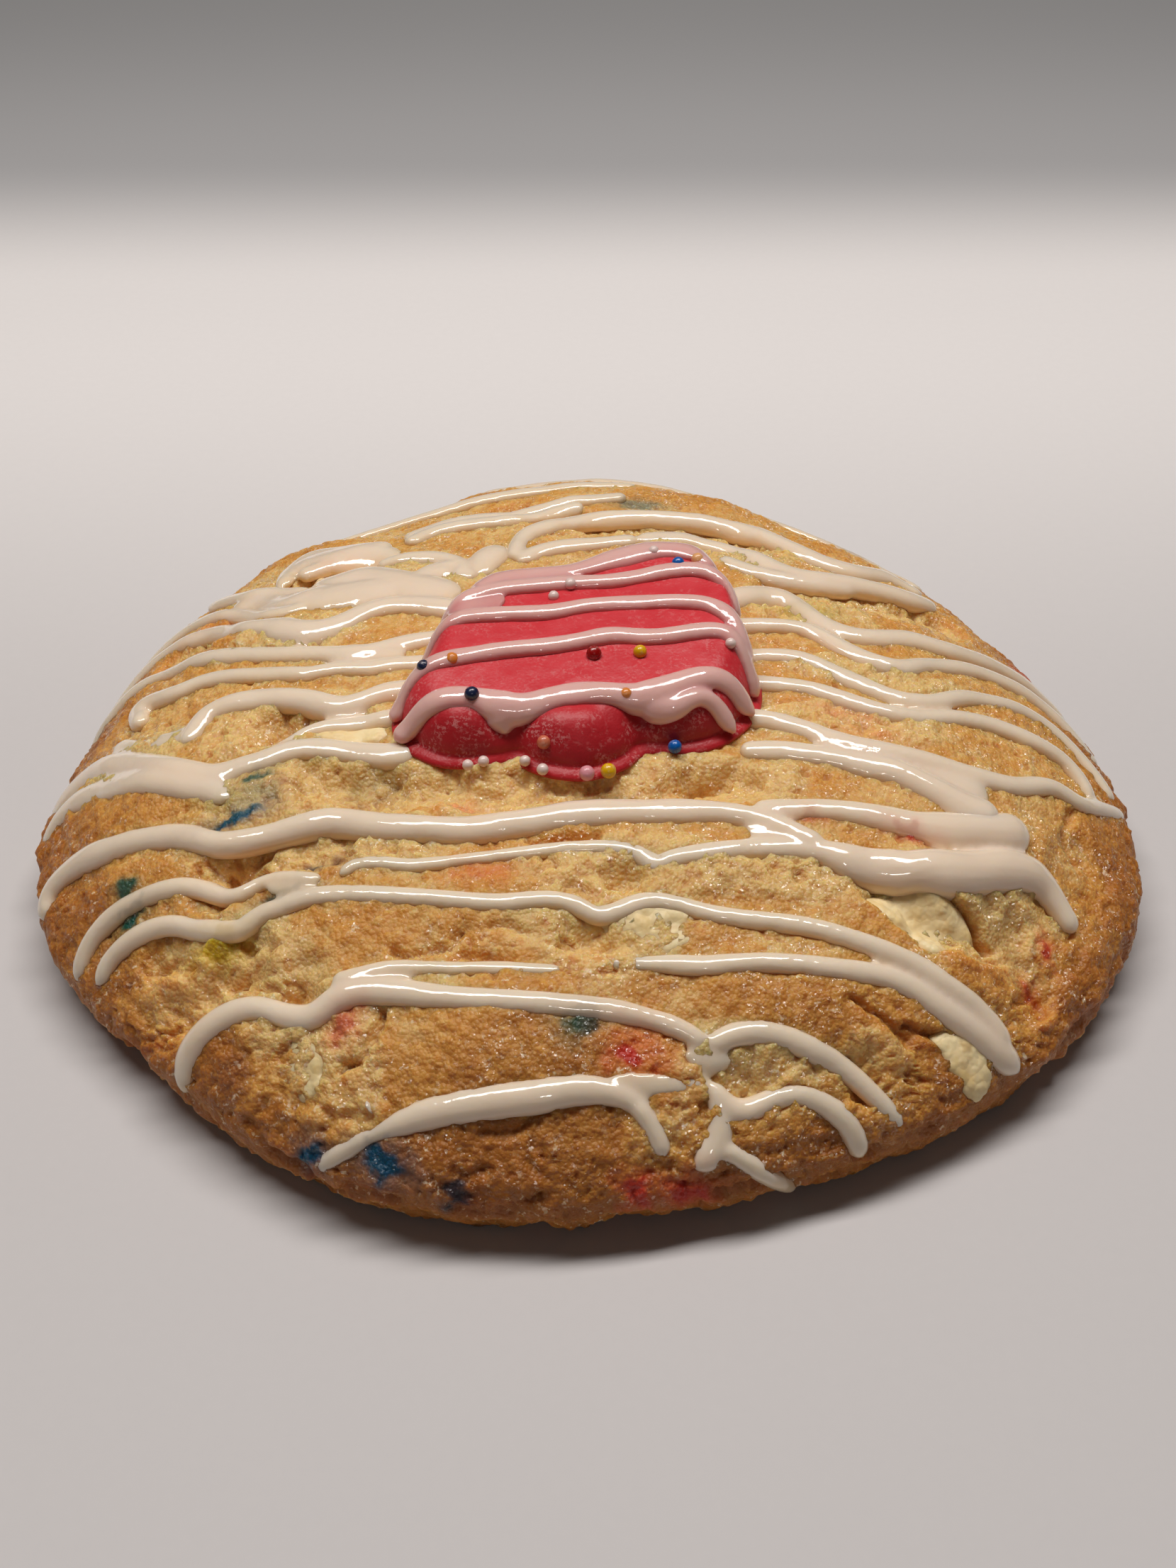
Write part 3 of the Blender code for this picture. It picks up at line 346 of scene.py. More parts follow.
# Icing strokes on the left of the dome
LEFT_STROKES = (
    (1.3, 0.7, ((-50.4, -6.4, 1), (-48.2, -3.6, 1.2), (-44, -4, 1.4), (-38.2, -8.5, 1.5), (-34, -11.9, 1.5),
        (-31, -13.1), (-29.3, -12.7, 1.1), (-26.5, -12.4, 1), (-24.9, -11.8, 0.95), (-22.5, -11.8, 0.95),
        (-19.7, -12.6, 1), (-15.8, -13.7, 1.2), (-13.4, -13.6, 1.1))),
    (1.2, 0.7, ((-50.6, -10, 0.9), (-48.6, -7.4, 1.1), (-45.8, -6.8), (-43, -8, 1.3), (-39.9, -9.6, 1.4),
        (-35.7, -12.2, 1.4), (-33, -13.4, 1.4), (-30.8, -14.7), (-29.4, -16.3, 0.8))),
    (0.85, 0.7, ((-26.3, -11.9, 0.6), (-25.2, -10.9, 0.7), (-24, -9.4, 0.75), (-22.1, -8.7, 0.8),
        (-19.6, -8.7), (-16.3, -8.8, 1.0), (-14, -8.8, 1.0))),
    (1.1, 0.8, ((-34.6, -7.7, 0.8), (-33.7, -5.4, 1), (-32.9, -3.8, 1.05), (-31.2, -3.5),
        (-28.9, -3.5, 1.15), (-25.6, -4.3, 1.15), (-23.2, -5.4, 1.15), (-21.4, -6.5, 1.15), (-19.8, -6.6),
        (-18.1, -5.9, 1), (-16.3, -4.9, 1.1), (-13.2, -4.9, 1.1))),
    (1.1, 0.4, ((-42.3, -1.8, 0.9), (-39.7, -4.7, 1), (-37.6, -5.5, 1.2), (-35.4, -6, 1),
        (-34.3, -4.8, 0.8))),
    (0.9, 0.75, ((-40.1, -0.5), (-41.2, 3.2, 1), (-40.1, 3.6, 1.1), (-38, 2.6, 1), (-36.3, 2.1),
        (-35.3, 2.5, 0.85), (-32.9, 2, 0.85), (-29.7, 0.8, 0.85), (-26.7, -0.2, 0.85), (-24, -1.1, 0.8),
        (-22.5, -0.8, 0.8), (-20.2, -0.8, 0.8), (-18.5, -1.3, 0.8), (-16.2, -0.8, 0.85), (-12, -0.9, 0.9))),
    (0.95, 0.75, ((-48.6, 6, 0.8), (-46.4, 8.6, 0.85), (-43.4, 9.6, 0.85), (-39.6, 9, 0.85),
        (-36.2, 7.2, 0.9), (-33.2, 5.8), (-29.9, 4.4), (-26.4, 3), (-22.8, 2, 1), (-20.4, 1.1, 1.3),
        (-18.1, 1.3, 1.1), (-15.9, 2.3, 1.0), (-13, 3, 0.9), (-9.6, 3.2, 0.9))),
    (0.7, 0.7, ((-18.6, 0.6), (-16.8, 0.6), (-15.2, 0.9, 0.6))),
    (1, 0.75, ((-46.2, 12.2, 0.75), (-43.4, 14.2, 0.85), (-40.4, 14.4, 0.85), (-37.1, 13.6, 0.9),
        (-34.3, 12.6, 0.95), (-30.8, 9.2), (-28.8, 8.3, 1.2), (-27.5, 7.3, 1.5), (-25, 5.8, 1.6),
        (-22.6, 6.1, 1.4), (-21, 7.4, 1.2), (-19.3, 8.8, 1.1), (-17.5, 9.3, 1.1), (-15.5, 9.3, 1.1),
        (-12.6, 8.5, 1.2), (-9.4, 7.4, 1.2), (-6.4, 7.2, 1.0))),
    (0.85, 0.7, ((-43.4, 17, 0.7), (-40.6, 18, 0.8), (-38, 17.8, 0.8), (-35.2, 16.4), (-32.4, 14.6),
        (-29.4, 11.7), (-26.8, 11), (-25.2, 11.5, 0.8))),
    (1.9, 0.4, ((-28.0, 20.8, 1.4), (-27.0, 22.6, 1.9), (-24.7, 22.6, 2.0), (-21.3, 21.6, 1.9),
        (-17.1, 20.6, 1.3))),
    (2.2, 0.4, ((-25.5, 16.9, 1.4), (-22.3, 16.2, 2.0), (-18.2, 14.2, 2.3), (-14.3, 11.9, 2.2),
        (-10.5, 10.9, 1.5))),
    (1.6, 0.4, ((-33.6, 17.2, 1.2), (-29.6, 15.3, 1.7), (-25.7, 13.2, 1.8), (-21.9, 12.8, 1.6))),
    (0.9, 0.7, ((-14.9, 12.6, 0.8), (-14.8, 14.4), (-13.1, 15.8, 1.0), (-11.3, 16.1, 1.0),
        (-10.3, 14.8, 0.9), (-9.8, 13.2, 0.8))),
    (0.9, 0.7, ((-16.6, 23.0, 0.8), (-14.8, 25.2), (-12.4, 26.2), (-9.4, 26.4), (-6.4, 26.4), (-2.4, 28.6),
        (1.2, 29.8, 0.8))),
    (1.5, 0.5, ((-9.2, 14.2, 1.1), (-8.4, 17.4, 1.6), (-6.8, 19.9, 1.2))),
    (2.2, 0.4, ((-27.1, 12.5, 1.6), (-22.9, 12.5, 2.2), (-18.1, 12.4, 2.2), (-14.9, 12.6, 1.6))),
    (0.9, 0.7, ((-37.1, 21.7, 0.7), (-35.4, 20.9, 0.85), (-32.2, 18.1), (-30.4, 17.5), (-27.5, 16.1),
        (-25.8, 15.9, 0.8))),
    (1, 0.7, ((-19.3, 18.8, 0.8), (-16.4, 18.8, 0.95), (-13.1, 18.2), (-11, 16.6), (-10.5, 14.7, 1.1),
        (-11.2, 13.4))),
    (1, 0.7, ((-15.1, 13.4), (-13.4, 15), (-11.6, 14.9))),
    (1.4, 0.55, ((-28.7, 18.3, 0.8), (-28.6, 22.2, 1), (-26.8, 24.2), (-23.8, 23.6, 1.5),
        (-21, 23.3, 1.3), (-18.1, 22.7, 1))),
    (0.8, 0.7, ((-27.4, 19.5), (-24.6, 20.6, 0.85), (-21.9, 21.7), (-19.6, 22.4, 0.7))),
)

# Each group of strokes is one piece: its name, its strokes and how much wider the beads are drawn
STROKE_GROUPS = (
    ("icing_near", NEAR_STROKES, 1.1),
    ("icing_right", RIGHT_STROKES, 1.2),
    ("icing_far", FAR_STROKES, 1.25),
    ("icing_left", LEFT_STROKES, 1.22),
)

# White chocolate chunks: x, y, length, width, turn in degrees, how far they stand out
CHUNKS = (
    (28, -27.9, 10, 6, -24, 0.35),
    (31.4, -38, 5.8, 3.8, -25, 0.3),
    (6, -32, 8.6, 5.2, -6, 0.3),
    (-20.8, -40.6, 4.0, 6.0, 14, 0.3),
    (-19, -10.7, 8.4, 3.2, -6, 0.4),
    (-23.6, 18, 5.4, 3.8, 20, 0.6),
)

# Outline of the frosted biscuit
BISCUIT_OUTLINE = (
    (-15.8, -9.5), (-14.6, -13.3), (-11.4, -15.9), (-7.6, -16), (-5.2, -15.5), (-3.2, -17), (0.9, -17.9),
    (4.2, -16.5), (6.2, -14.6), (10.1, -14.3), (13.4, -12.8), (16.2, -8.8), (16.7, -4), (15.6, 0.5),
    (14.6, 4.6), (12.4, 9.2), (9, 10.9), (5.4, 10.2), (2.4, 8.2), (-0.8, 6.8), (-5, 6.4), (-8.6, 4.8),
    (-11.6, 0.8), (-13.8, -3.7),
)
# How the top leans down towards the lobes, per square millimetre
FRONT_LEAN = 0.0012
# Rounded lobes of the biscuit: x, y, half width, half depth, height
LOBES = (
    (-10.6, -14.4, 5.0, 3.0, 0.9),
    (-0.4, -15.9, 5.4, 3.6, 1.1),
    (11.0, -13.4, 5.0, 3.0, 0.8),
    (9.4, 6.4, 5.0, 4.0, 0.5),
)
# Grooves between the lobes: half width, depth, points
LOBE_GROOVES = (
    (1.2, 1.0, ((-6, -17.5), (-5.8, -14.6), (-6.0, -13.8))),
    (1.2, 1.0, ((6.2, -16.5), (5.8, -13.8), (6.0, -13.0))),
)

# Icing strokes on the biscuit
BISCUIT_STROKES = (
    (1.3, 0.5, ((-9.0, 2.2, 1.0), (-6.6, 3.6), (-2.6, 4.4, 1.2), (0.8, 5.4, 1.2), (3.8, 7.0, 1.5),
                (7.6, 8.2, 1.6), (11.0, 7.6, 1.4), (13.0, 5.6, 1.0))),
    (0.95, 0.7, ((-12.4, -1.6, 0.9), (-10, 0.4), (-7, 1.9), (-3, 2.6), (0, 3.0), (3, 3.1), (6, 3.9),
                 (9, 4.6), (12, 4.7), (13.8, 3.4), (14.8, 1.0))),
    (2.4, 0.2, ((-11, -1.4, 2.0), (-8.6, 0.0, 2.2), (-6, 0.6, 1.4))),
    (0.95, 0.7, ((-14.4, -5.4), (-13, -3.6), (-10, -2.2), (-6, -1.7), (-2, -1.5), (1, -0.6), (5, -0.2),
                 (9, 0), (12, -0.4), (14, -2.2), (15.4, -5.4))),
    (1.0, 0.75, ((-15.7, -10.4, 0.9), (-14.7, -9.0), (-11.6, -7.8), (-6.1, -6.6), (-0.7, -5.8), (3.2, -4.7),
                 (5.4, -4.9), (8.1, -4.9), (12.3, -4.0), (14.3, -4.8), (16.0, -7.2))),
    (1.3, 0.75, ((-15.4, -12.8, 1.0), (-13.6, -12.3, 1.1), (-11.4, -12.0, 1.2), (-8.7, -12.1, 1.3),
                 (-6.4, -12.8, 1.6), (-4.2, -12.9, 1.4), (-2.1, -12.3, 1.3), (0.6, -11.7, 1.25),
                 (4.0, -11.7, 1.3), (6.6, -11.7, 1.5), (8.6, -10.7, 1.2), (11.4, -9.6, 1.1),
                 (14.0, -9.3, 1.05), (15.6, -9.9, 0.9))),
    (1.5, 0.7, ((-6.3, -12.7, 2.1), (-5.9, -13.4, 1.9), (-5.7, -14.2, 1.2))),
    (1.1, 0.75, ((5.4, -11.7, 1.4), (7.0, -12.3, 1.5), (8.4, -12.7, 1.2), (10.0, -11.8, 0.95),
                 (11.4, -11.3, 0.95), (13.0, -11.6, 0.95), (13.8, -12.4, 0.8))),
)

# Sugar balls on the biscuit: x, y, how far the icing under them lifts them, size, colour name
SUGAR_BALLS = (
    (9.6, 5.4, 0, 1, "blue"),
    (11.4, 6.2, 0, 1, "peach"),
    (7.5, 7.4, 0.2, 0.85, "white"),
    (-0.2, 2.4, 0.25, 0.9, "white"),
    (-1.7, 0.9, 0, 0.8, "white"),
    (13.6, -5.6, 0.1, 0.8, "white"),
    (-10.4, -7.8, 0.1, 1, "orange"),
    (-12.7, -8.2, 0.1, 1, "navy"),
    (1.8, -7.1, 0, 1.1, "red"),
    (5.8, -6.9, 0, 1, "yellow"),
    (-8.6, -12.6, 0.6, 1.05, "navy"),
    (4.3, -11.7, 0.5, 0.9, "orange"),
    (8.6, -14.4, 0, 1, "blue"),
    (-2.5, -15.6, -0.2, 1, "dusty"),
    (-8.9, -16.6, -0.1, 0.8, "white"),
    (-7.6, -16.1, -0.1, 0.8, "white"),
    (-4.1, -16.2, 0, 0.8, "white"),
    (-2.6, -17.4, 0, 0.85, "white"),
    (1.1, -18.0, 0, 1.1, "rose"),
    (2.9, -17.7, 0, 1.1, "yellow"),
)
BALL_COLOURS = {
    "blue": (0.0, 0.1, 0.4),
    "navy": (0.008, 0.014, 0.05),
    "peach": (0.8, 0.4, 0.16),
    "orange": (0.75, 0.24, 0.04),
    "white": (0.8, 0.62, 0.56),
    "rose": (0.75, 0.3, 0.34),
    "dusty": (0.6, 0.16, 0.08),
    "red": (0.3, 0.0, 0.0),
    "yellow": (0.75, 0.42, 0.0),
}

# Fixed tints of the finishes
DARK_SPECK = (0.6, 0.24, 0.04, 1)
# Pale sugar specks, partly painted glints
SUGAR_AND_GLINT_SPECK = (0.97, 0.78, 0.55, 1)
# Painted shade: the colour that the hollows, cracks and pits of the dough are multiplied by
PAINTED_SHADE_TINT = (0.72, 0.42, 0.15, 1)
ICING_EDGE = (0.8, 0.52, 0.25)
PINK_ICING_EDGE = (0.66, 0.2, 0.2)
PINK_FLUSH = (0.55, 0.1, 0.12)
# Painted shade on the low front lobes of the biscuit
PAINTED_PINK_SHADE = (0.4, 0.012, 0.018, 1)
PINK_DUST = (0.7, 0.27, 0.26, 1)
TOASTED = (0.62, 0.38, 0.13, 1)
BALL_DUST = (0.8, 0.6, 0.5, 1)


class CookieSizes(bpy.types.PropertyGroup):
    radius: FloatProperty(name="Radius", description="Mean radius of the cookie", default=0.05,
                          unit="LENGTH")
    height: FloatProperty(name="Height", description="Top of the dome above the base", default=0.021,
                          unit="LENGTH")
    widest: FloatProperty(name="Widest height", description="Height at which the cookie is widest",
                          default=0.00525, unit="LENGTH")
    unevenness: FloatProperty(name="Unevenness", description="Height of the broad lumps of the crust",
                              default=0.00045, unit="LENGTH")
    crumb_height: FloatProperty(name="Crumb height", description="Height of the open crumb's grains",
                                default=0.00062, unit="LENGTH")
    dough_rings: IntProperty(name="Dough rings", description="Rings of points across the dome",
                             default=164)


class IcingSizes(bpy.types.PropertyGroup):
    voxel: FloatProperty(name="Voxel", description="Grid on which strokes flow together", default=0.00027,
                         unit="LENGTH")
    biscuit_voxel: FloatProperty(name="Biscuit voxel", description="Grid for the icing on the biscuit",
                                 default=0.0002, unit="LENGTH")


class BiscuitSizes(bpy.types.PropertyGroup):
    base: FloatProperty(name="Base", description="Height of the biscuit's underside", default=0.02045,
                        unit="LENGTH")
    height: FloatProperty(name="Height", description="Thickness of the biscuit", default=0.0064,
                          unit="LENGTH")
    foot: FloatProperty(name="Foot", description="Thickness of the frosting's thin foot", default=0.001,
                        unit="LENGTH")
    ball: FloatProperty(name="Ball", description="Radius of a sugar ball", default=0.0006, unit="LENGTH")


class CookieColours(bpy.types.PropertyGroup):
    crumb: FloatVectorProperty(name="Crumb", description="Pale open crumb", subtype="COLOR",
                               default=(0.77, 0.495, 0.185))
    golden: FloatVectorProperty(name="Golden", description="Lightly baked crust", subtype="COLOR",
                                default=(0.67, 0.31, 0.062))
    brown: FloatVectorProperty(name="Brown", description="Well baked crust", subtype="COLOR",
                               default=(0.42, 0.145, 0.018))
    icing: FloatVectorProperty(name="Icing", description="Drizzled icing", subtype="COLOR",
                               default=(0.88, 0.71, 0.55))
    frosting: FloatVectorProperty(name="Frosting", description="Pink frosting", subtype="COLOR",
                                  default=(0.6, 0.03, 0.04))
    chocolate: FloatVectorProperty(name="White chocolate", description="White chocolate chunks",
                                   subtype="COLOR", default=(0.93, 0.74, 0.42))
    floor: FloatVectorProperty(name="Floor", description="Pale floor", subtype="COLOR",
                               default=(0.6, 0.57, 0.56))


GROUPS = {
    "cookie_sizes": CookieSizes,
    "cookie_icing": IcingSizes,
    "cookie_biscuit": BiscuitSizes,
    "cookie_colours": CookieColours,
}


def lattice(ix, iy, iz, seed):
    """A fixed random value from 0 to 1 for each cell of a grid."""
    h = ix * 374761393 + iy * 668265263 + iz * 1440662683 + seed * 69069
    h = h & 0xFFFFFFFF
    h = ((h ^ (h >> 13)) * 1274126177) & 0xFFFFFFFF
    h = h ^ (h >> 16)
    return (h & 0xFFFFFF) / float(0xFFFFFF)


def noise(points, size, seed):
    """Smooth noise from -1 to 1 whose bumps are about one size apart."""
    p = points / size
    i = np.floor(p).astype(np.int64)
    f = p - i
    f = f * f * (3 - 2 * f)
    total = np.zeros(len(points))
    for dx in (0, 1):
        wx = f[:, 0] if dx else 1 - f[:, 0]
        for dy in (0, 1):
            wy = f[:, 1] if dy else 1 - f[:, 1]
            for dz in (0, 1):
                wz = f[:, 2] if dz else 1 - f[:, 2]
                total += wx * wy * wz * lattice(i[:, 0] + dx, i[:, 1] + dy, i[:, 2] + dz, seed)
    return 2 * total - 1


def grains(points, size, seed):
    """Nearest of scattered points: its distance, 0 to about 1, and its own random value."""
    p = points / size
    i = np.floor(p).astype(np.int64)
    best = np.full(len(points), 9.0)
    own = np.zeros(len(points))
    for dx in (-1, 0, 1):
        for dy in (-1, 0, 1):
            for dz in (-1, 0, 1):
                cx, cy, cz = i[:, 0] + dx, i[:, 1] + dy, i[:, 2] + dz
                gx = cx + lattice(cx, cy, cz, seed)
                gy = cy + lattice(cx, cy, cz, seed + 7)
                gz = cz + lattice(cx, cy, cz, seed + 13)
                d = (p[:, 0] - gx) ** 2 + (p[:, 1] - gy) ** 2 + (p[:, 2] - gz) ** 2
                closer = d < best
                best = np.where(closer, d, best)
                own = np.where(closer, lattice(cx, cy, cz, seed + 29), own)
    return np.sqrt(best), own


def smooth_step(low, high, value):
    t = np.clip((value - low) / (high - low), 0, 1)
    return t * t * (3 - 2 * t)


def settings(name):
    return getattr(bpy.context.scene, name)


def outline_radius(angle):
    """Distance from the middle of the waves to the cookie's outline."""
    wave = np.ones_like(angle)
    for k in range(len(WAVES_COS)):
        wave = wave + WAVES_COS[k] * np.cos((k + 1) * angle) + WAVES_SIN[k] * np.sin((k + 1) * angle)
    return settings("cookie_sizes").radius / MM * wave


def share_of(x, y):
    """How far out a spot lies: 0 in the middle, 1 on the outline."""
    return np.hypot(x, y) / outline_radius(np.arctan2(y, x))


def bumps(x, y, spots):
    """Summed height of rounded spots."""
    total = np.zeros_like(x)
    for sx, sy, half_x, half_y, size in spots:
        d2 = ((x - sx) / half_x) ** 2 + ((y - sy) / half_y) ** 2
        total += size * np.clip(1 - d2, 0, 1) ** 2
    return total


def route_distance(x, y, route):
    best = np.full_like(x, 1e9)
    for (ax, ay), (bx, by) in zip(route, route[1:]):
        dx, dy = bx - ax, by - ay
        t = np.clip(((x - ax) * dx + (y - ay) * dy) / (dx * dx + dy * dy), 0, 1)
        best = np.minimum(best, np.hypot(x - ax - t * dx, y - ay - t * dy))
    return best


def grooves(x, y, lines, reach=1.6, steep=False):
    """Depth of the deepest of the grooves at each spot. Reach is their half width as drawn out."""
    total = np.zeros_like(x)
    for half, depth, route in lines:
        d = np.clip(route_distance(x, y, route) / (reach * half), 0, 1)
        profile = smooth_step(1.0, 0.35, d) if steep else (1 - d * d) ** 2
        total = np.maximum(total, depth * profile)
    return total


def relief(x, y):
    """Mounds, hollows and fissures, fading out at the rim."""
    fade = np.clip((1.0 - share_of(x, y)) / RELIEF_FADE, 0, 1)
    return (bumps(x, y, MOUNDS) - bumps(x, y, HOLLOWS) - grooves(x, y, FISSURES)) * fade


def surface_points(x, y, with_relief=True):
    """Points of the cookie's skin. Beyond the outline they run down the side to the base."""
    sizes = settings("cookie_sizes")
    height, widest = sizes.height / MM, sizes.widest / MM
    angle = np.arctan2(y, x)
    rim = outline_radius(angle)
    share = np.hypot(x, y) / rim
    crown = np.clip(1 - np.clip(share, 0, 1) ** DOME_POWER, 0, 1) ** (1 / EDGE_POWER)
    z = widest + (height - widest) * crown
    turn = np.clip((share - 1) / SIDE_SPAN, 0, 1) * math.pi / 2
    radius = np.where(share > 1, rim * (FOOT_RATIO + (1 - FOOT_RATIO) * np.cos(turn)), share * rim)
    z = np.where(share > 1, widest * (1 - np.sin(turn)), z)
    if with_relief:
        z = z + relief(x, y)
    return np.stack([radius * np.cos(angle), radius * np.sin(angle), z], axis=1)


def icing_bed(x, y):
    """Where the icing lies: on the mounds, bridging most of each hollow."""
    points = surface_points(x, y, False)
    fade = np.clip((1.0 - share_of(x, y)) / RELIEF_FADE, 0, 1)
    low = np.minimum(bumps(x, y, HOLLOWS) + grooves(x, y, FISSURES), 0.5)
    points[:, 2] += (bumps(x, y, MOUNDS) - low) * fade
    return points


def surface_normals(x, y):
    step = 0.5
    right = surface_points(x + step, y) - surface_points(x - step, y)
    away = surface_points(x, y + step) - surface_points(x, y - step)
    normal = np.cross(right, away)
    return normal / np.maximum(np.linalg.norm(normal, axis=1, keepdims=True), 1e-9)


def to_frame(points):
    """From millimetres round the outline's middle to metres in the object's frame."""
    return (points - np.array([MIDDLE[0], MIDDLE[1], 0.0])) * MM


def add_mesh(name, points, faces, smooth=True):
    """A mesh object from points and lists of faces. Each list holds faces with as many corners."""
    mesh = bpy.data.meshes.new(name)
    mesh.vertices.add(len(points))
    mesh.vertices.foreach_set("co", np.asarray(points, dtype=np.float32).ravel())
    corners = np.concatenate([np.asarray(f, dtype=np.int32).ravel() for f in faces])
    counts = np.concatenate([np.full(len(f), len(f[0]), dtype=np.int32) for f in faces if len(f)])
    starts = np.concatenate([[0], np.cumsum(counts)[:-1]]).astype(np.int32)
    mesh.loops.add(len(corners))
    mesh.loops.foreach_set("vertex_index", corners)
    mesh.polygons.add(len(counts))
    mesh.polygons.foreach_set("loop_start", starts)
    mesh.update(calc_edges=True)
    mesh.validate()
    if smooth:
        mesh.shade_smooth()
    piece = bpy.data.objects.new(name, mesh)
    bpy.context.scene.collection.objects.link(piece)
    return piece


def disc_faces(rings):
    """Triangles between rings of 6 k points round a centre point."""
    faces = []
    first = 1
    inner_first = 0
    for k in range(1, rings + 1):
        count, inner = 6 * k, max(1, 6 * (k - 1))
        for side in range(6):
            for i in range(k):
                a = first + side * k + i
                b = first + (side * k + i + 1) % count
                c = inner_first + (side * (k - 1) + i) % inner
                faces.append((a, b, c))
                if i < k - 1:
                    faces.append((b, inner_first + (side * (k - 1) + i + 1) % inner, c))
        inner_first = first
        first += count
    return faces, inner_first


def ring_band(inner, outer, count):
    """Quads between two rings of as many points."""
    return [(inner + i, outer + i, outer + (i + 1) % count, inner + (i + 1) % count) for i in range(count)]


def disc_spots(rings, power):
    """Share of the radius and angle of each point of such a disc."""
    shares, angles = [0.0], [0.0]
    for k in range(1, rings + 1):
        share = 1 - (1 - k / rings) ** power
        for i in range(6 * k):
            shares.append(share)
            angles.append(math.tau * i / (6 * k))
    return np.array(shares), np.array(angles)


def place_node(tree, kind, values=None, **props):
    """Adds a node, with links where a value is a socket."""
    node = tree.nodes.new(kind)
    for key, value in props.items():
        setattr(node, key, value)
    for key, value in (values or {}).items():
        socket = node.inputs[key]
        if isinstance(value, bpy.types.NodeSocket):
            tree.links.new(value, socket)
        else:
            socket.default_value = value
    return node


def mix(tree, share, first, second, blend="MIX"):
    """Colour between two colours. Sockets 6 and 7 of the node are its colour inputs."""
    node = place_node(tree, "ShaderNodeMix", {0: share, 6: first, 7: second}, data_type="RGBA",
                      blend_type=blend)
    return node.outputs[2]


def maths(tree, operation, first, second=0.0, clamp=False):
    node = place_node(tree, "ShaderNodeMath", {0: first, 1: second}, operation=operation, use_clamp=clamp)
    return node.outputs[0]


def spread(tree, value, low, high, out_low=0.0, out_high=1.0):
    """Smooth step of a value from low to high."""
    node = place_node(tree, "ShaderNodeMapRange", {0: value, 1: low, 2: high, 3: out_low, 4: out_high})
    node.interpolation_type = "SMOOTHSTEP"
    return node.outputs[0]


def attribute(tree, name):
    return place_node(tree, "ShaderNodeAttribute", attribute_name=name)


def new_group(name, inputs, outputs):
    group = bpy.data.node_groups.new(name, "ShaderNodeTree")
    for label, default in inputs:
        socket = group.interface.new_socket(label, in_out="INPUT", socket_type="NodeSocketFloat")
        socket.default_value = default
    for label in outputs:
        group.interface.new_socket(label, in_out="OUTPUT", socket_type="NodeSocketFloat")
    start = group.nodes.new("NodeGroupInput")
    end = group.nodes.new("NodeGroupOutput")
    return group, start, end


def grain_group():
    """Grains of one size with finer grit on them, as a height and as a mask."""
    group, start, end = new_group("baked_grain", (("Grains per metre", 900.0), ("Grit share", 0.5)),
                                  ("Height", "Mask"))
    where = place_node(group, "ShaderNodeTexCoord").outputs["Object"]
    coarse = place_node(group, "ShaderNodeTexNoise", {"Vector": where, "Scale": start.outputs[0],
                                                      "Detail": 3.0, "Roughness": 0.6})
    finer = maths(group, "MULTIPLY", start.outputs[0], 2.7)
    grit = place_node(group, "ShaderNodeTexVoronoi", {"Vector": where, "Scale": finer}, feature="F1")
    rounded = maths(group, "SUBTRACT", 0.7, grit.outputs["Distance"])
    scaled = maths(group, "MULTIPLY", rounded, start.outputs[1])
    group.links.new(maths(group, "ADD", coarse.outputs[0], scaled), end.inputs[0])
    group.links.new(coarse.outputs[0], end.inputs[1])
    return group


def facet_group():
    """Small flat sugar facets, each tilted its own way, as a height."""
    group, start, end = new_group("sugar_facets", (("Facets per metre", 2500.0),), ("Height", "Own value"))
    where = place_node(group, "ShaderNodeTexCoord").outputs["Object"]
    cells = place_node(group, "ShaderNodeTexVoronoi", {"Vector": where, "Scale": start.outputs[0]},
                       feature="F1")
    away = place_node(group, "ShaderNodeVectorMath", {0: where, 1: cells.outputs["Position"]},
                      operation="SUBTRACT")
    scaled = place_node(group, "ShaderNodeVectorMath", {0: away.outputs[0], "Scale": start.outputs[0]},
                        operation="SCALE")
    centred = place_node(group, "ShaderNodeVectorMath", {0: cells.outputs["Color"], 1: (0.5, 0.5, 0.5)},
                         operation="SUBTRACT")
    tilt = place_node(group, "ShaderNodeVectorMath", {0: scaled.outputs[0], 1: centred.outputs[0]},
                      operation="DOT_PRODUCT")
    group.links.new(tilt.outputs["Value"], end.inputs[0])
    first = place_node(group, "ShaderNodeSeparateColor", {0: cells.outputs["Color"]})
    group.links.new(first.outputs[0], end.inputs[1])
    return group


def speckle_group():
    """Scattered soft specks, more or fewer by the threshold."""
    group, start, end = new_group("specks", (("Specks per metre", 1500.0), ("Threshold", 0.6),
                                             ("Softness", 0.06)), ("Mask",))
    where = place_node(group, "ShaderNodeTexCoord").outputs["Object"]
    spots = place_node(group, "ShaderNodeTexNoise", {"Vector": where, "Scale": start.outputs[0],
                                                     "Detail": 2.0, "Roughness": 0.7})
    high = maths(group, "ADD", start.outputs[1], start.outputs[2])
    edge = place_node(group, "ShaderNodeMapRange", {0: spots.outputs[0], 1: start.outputs[1], 2: high})
    group.links.new(edge.outputs[0], end.inputs[0])
    return group


def shared_group(name):
    if name not in bpy.data.node_groups:
        {"baked_grain": grain_group, "specks": speckle_group, "sugar_facets": facet_group}[name]()
    return bpy.data.node_groups[name]


def use_group(tree, name, values):
    node = tree.nodes.new("ShaderNodeGroup")
    node.node_tree = shared_group(name)
    for key, value in values.items():
        if isinstance(value, bpy.types.NodeSocket):
            tree.links.new(value, node.inputs[key])
        else:
            node.inputs[key].default_value = value
    return node


def set_values(shader, values):
    for key, value in values.items():
        shader.inputs[key].default_value = value


def bump_node(tree, height, strength, distance, normal=None):
    values = {"Height": height, "Strength": strength, "Distance": distance}
    if normal:
        values["Normal"] = normal
    return place_node(tree, "ShaderNodeBump", values).outputs[0]


def new_material(name):
    material = bpy.data.materials.new(name)
    material.use_nodes = True
    tree = material.node_tree
    return material, tree, tree.nodes["Principled BSDF"]


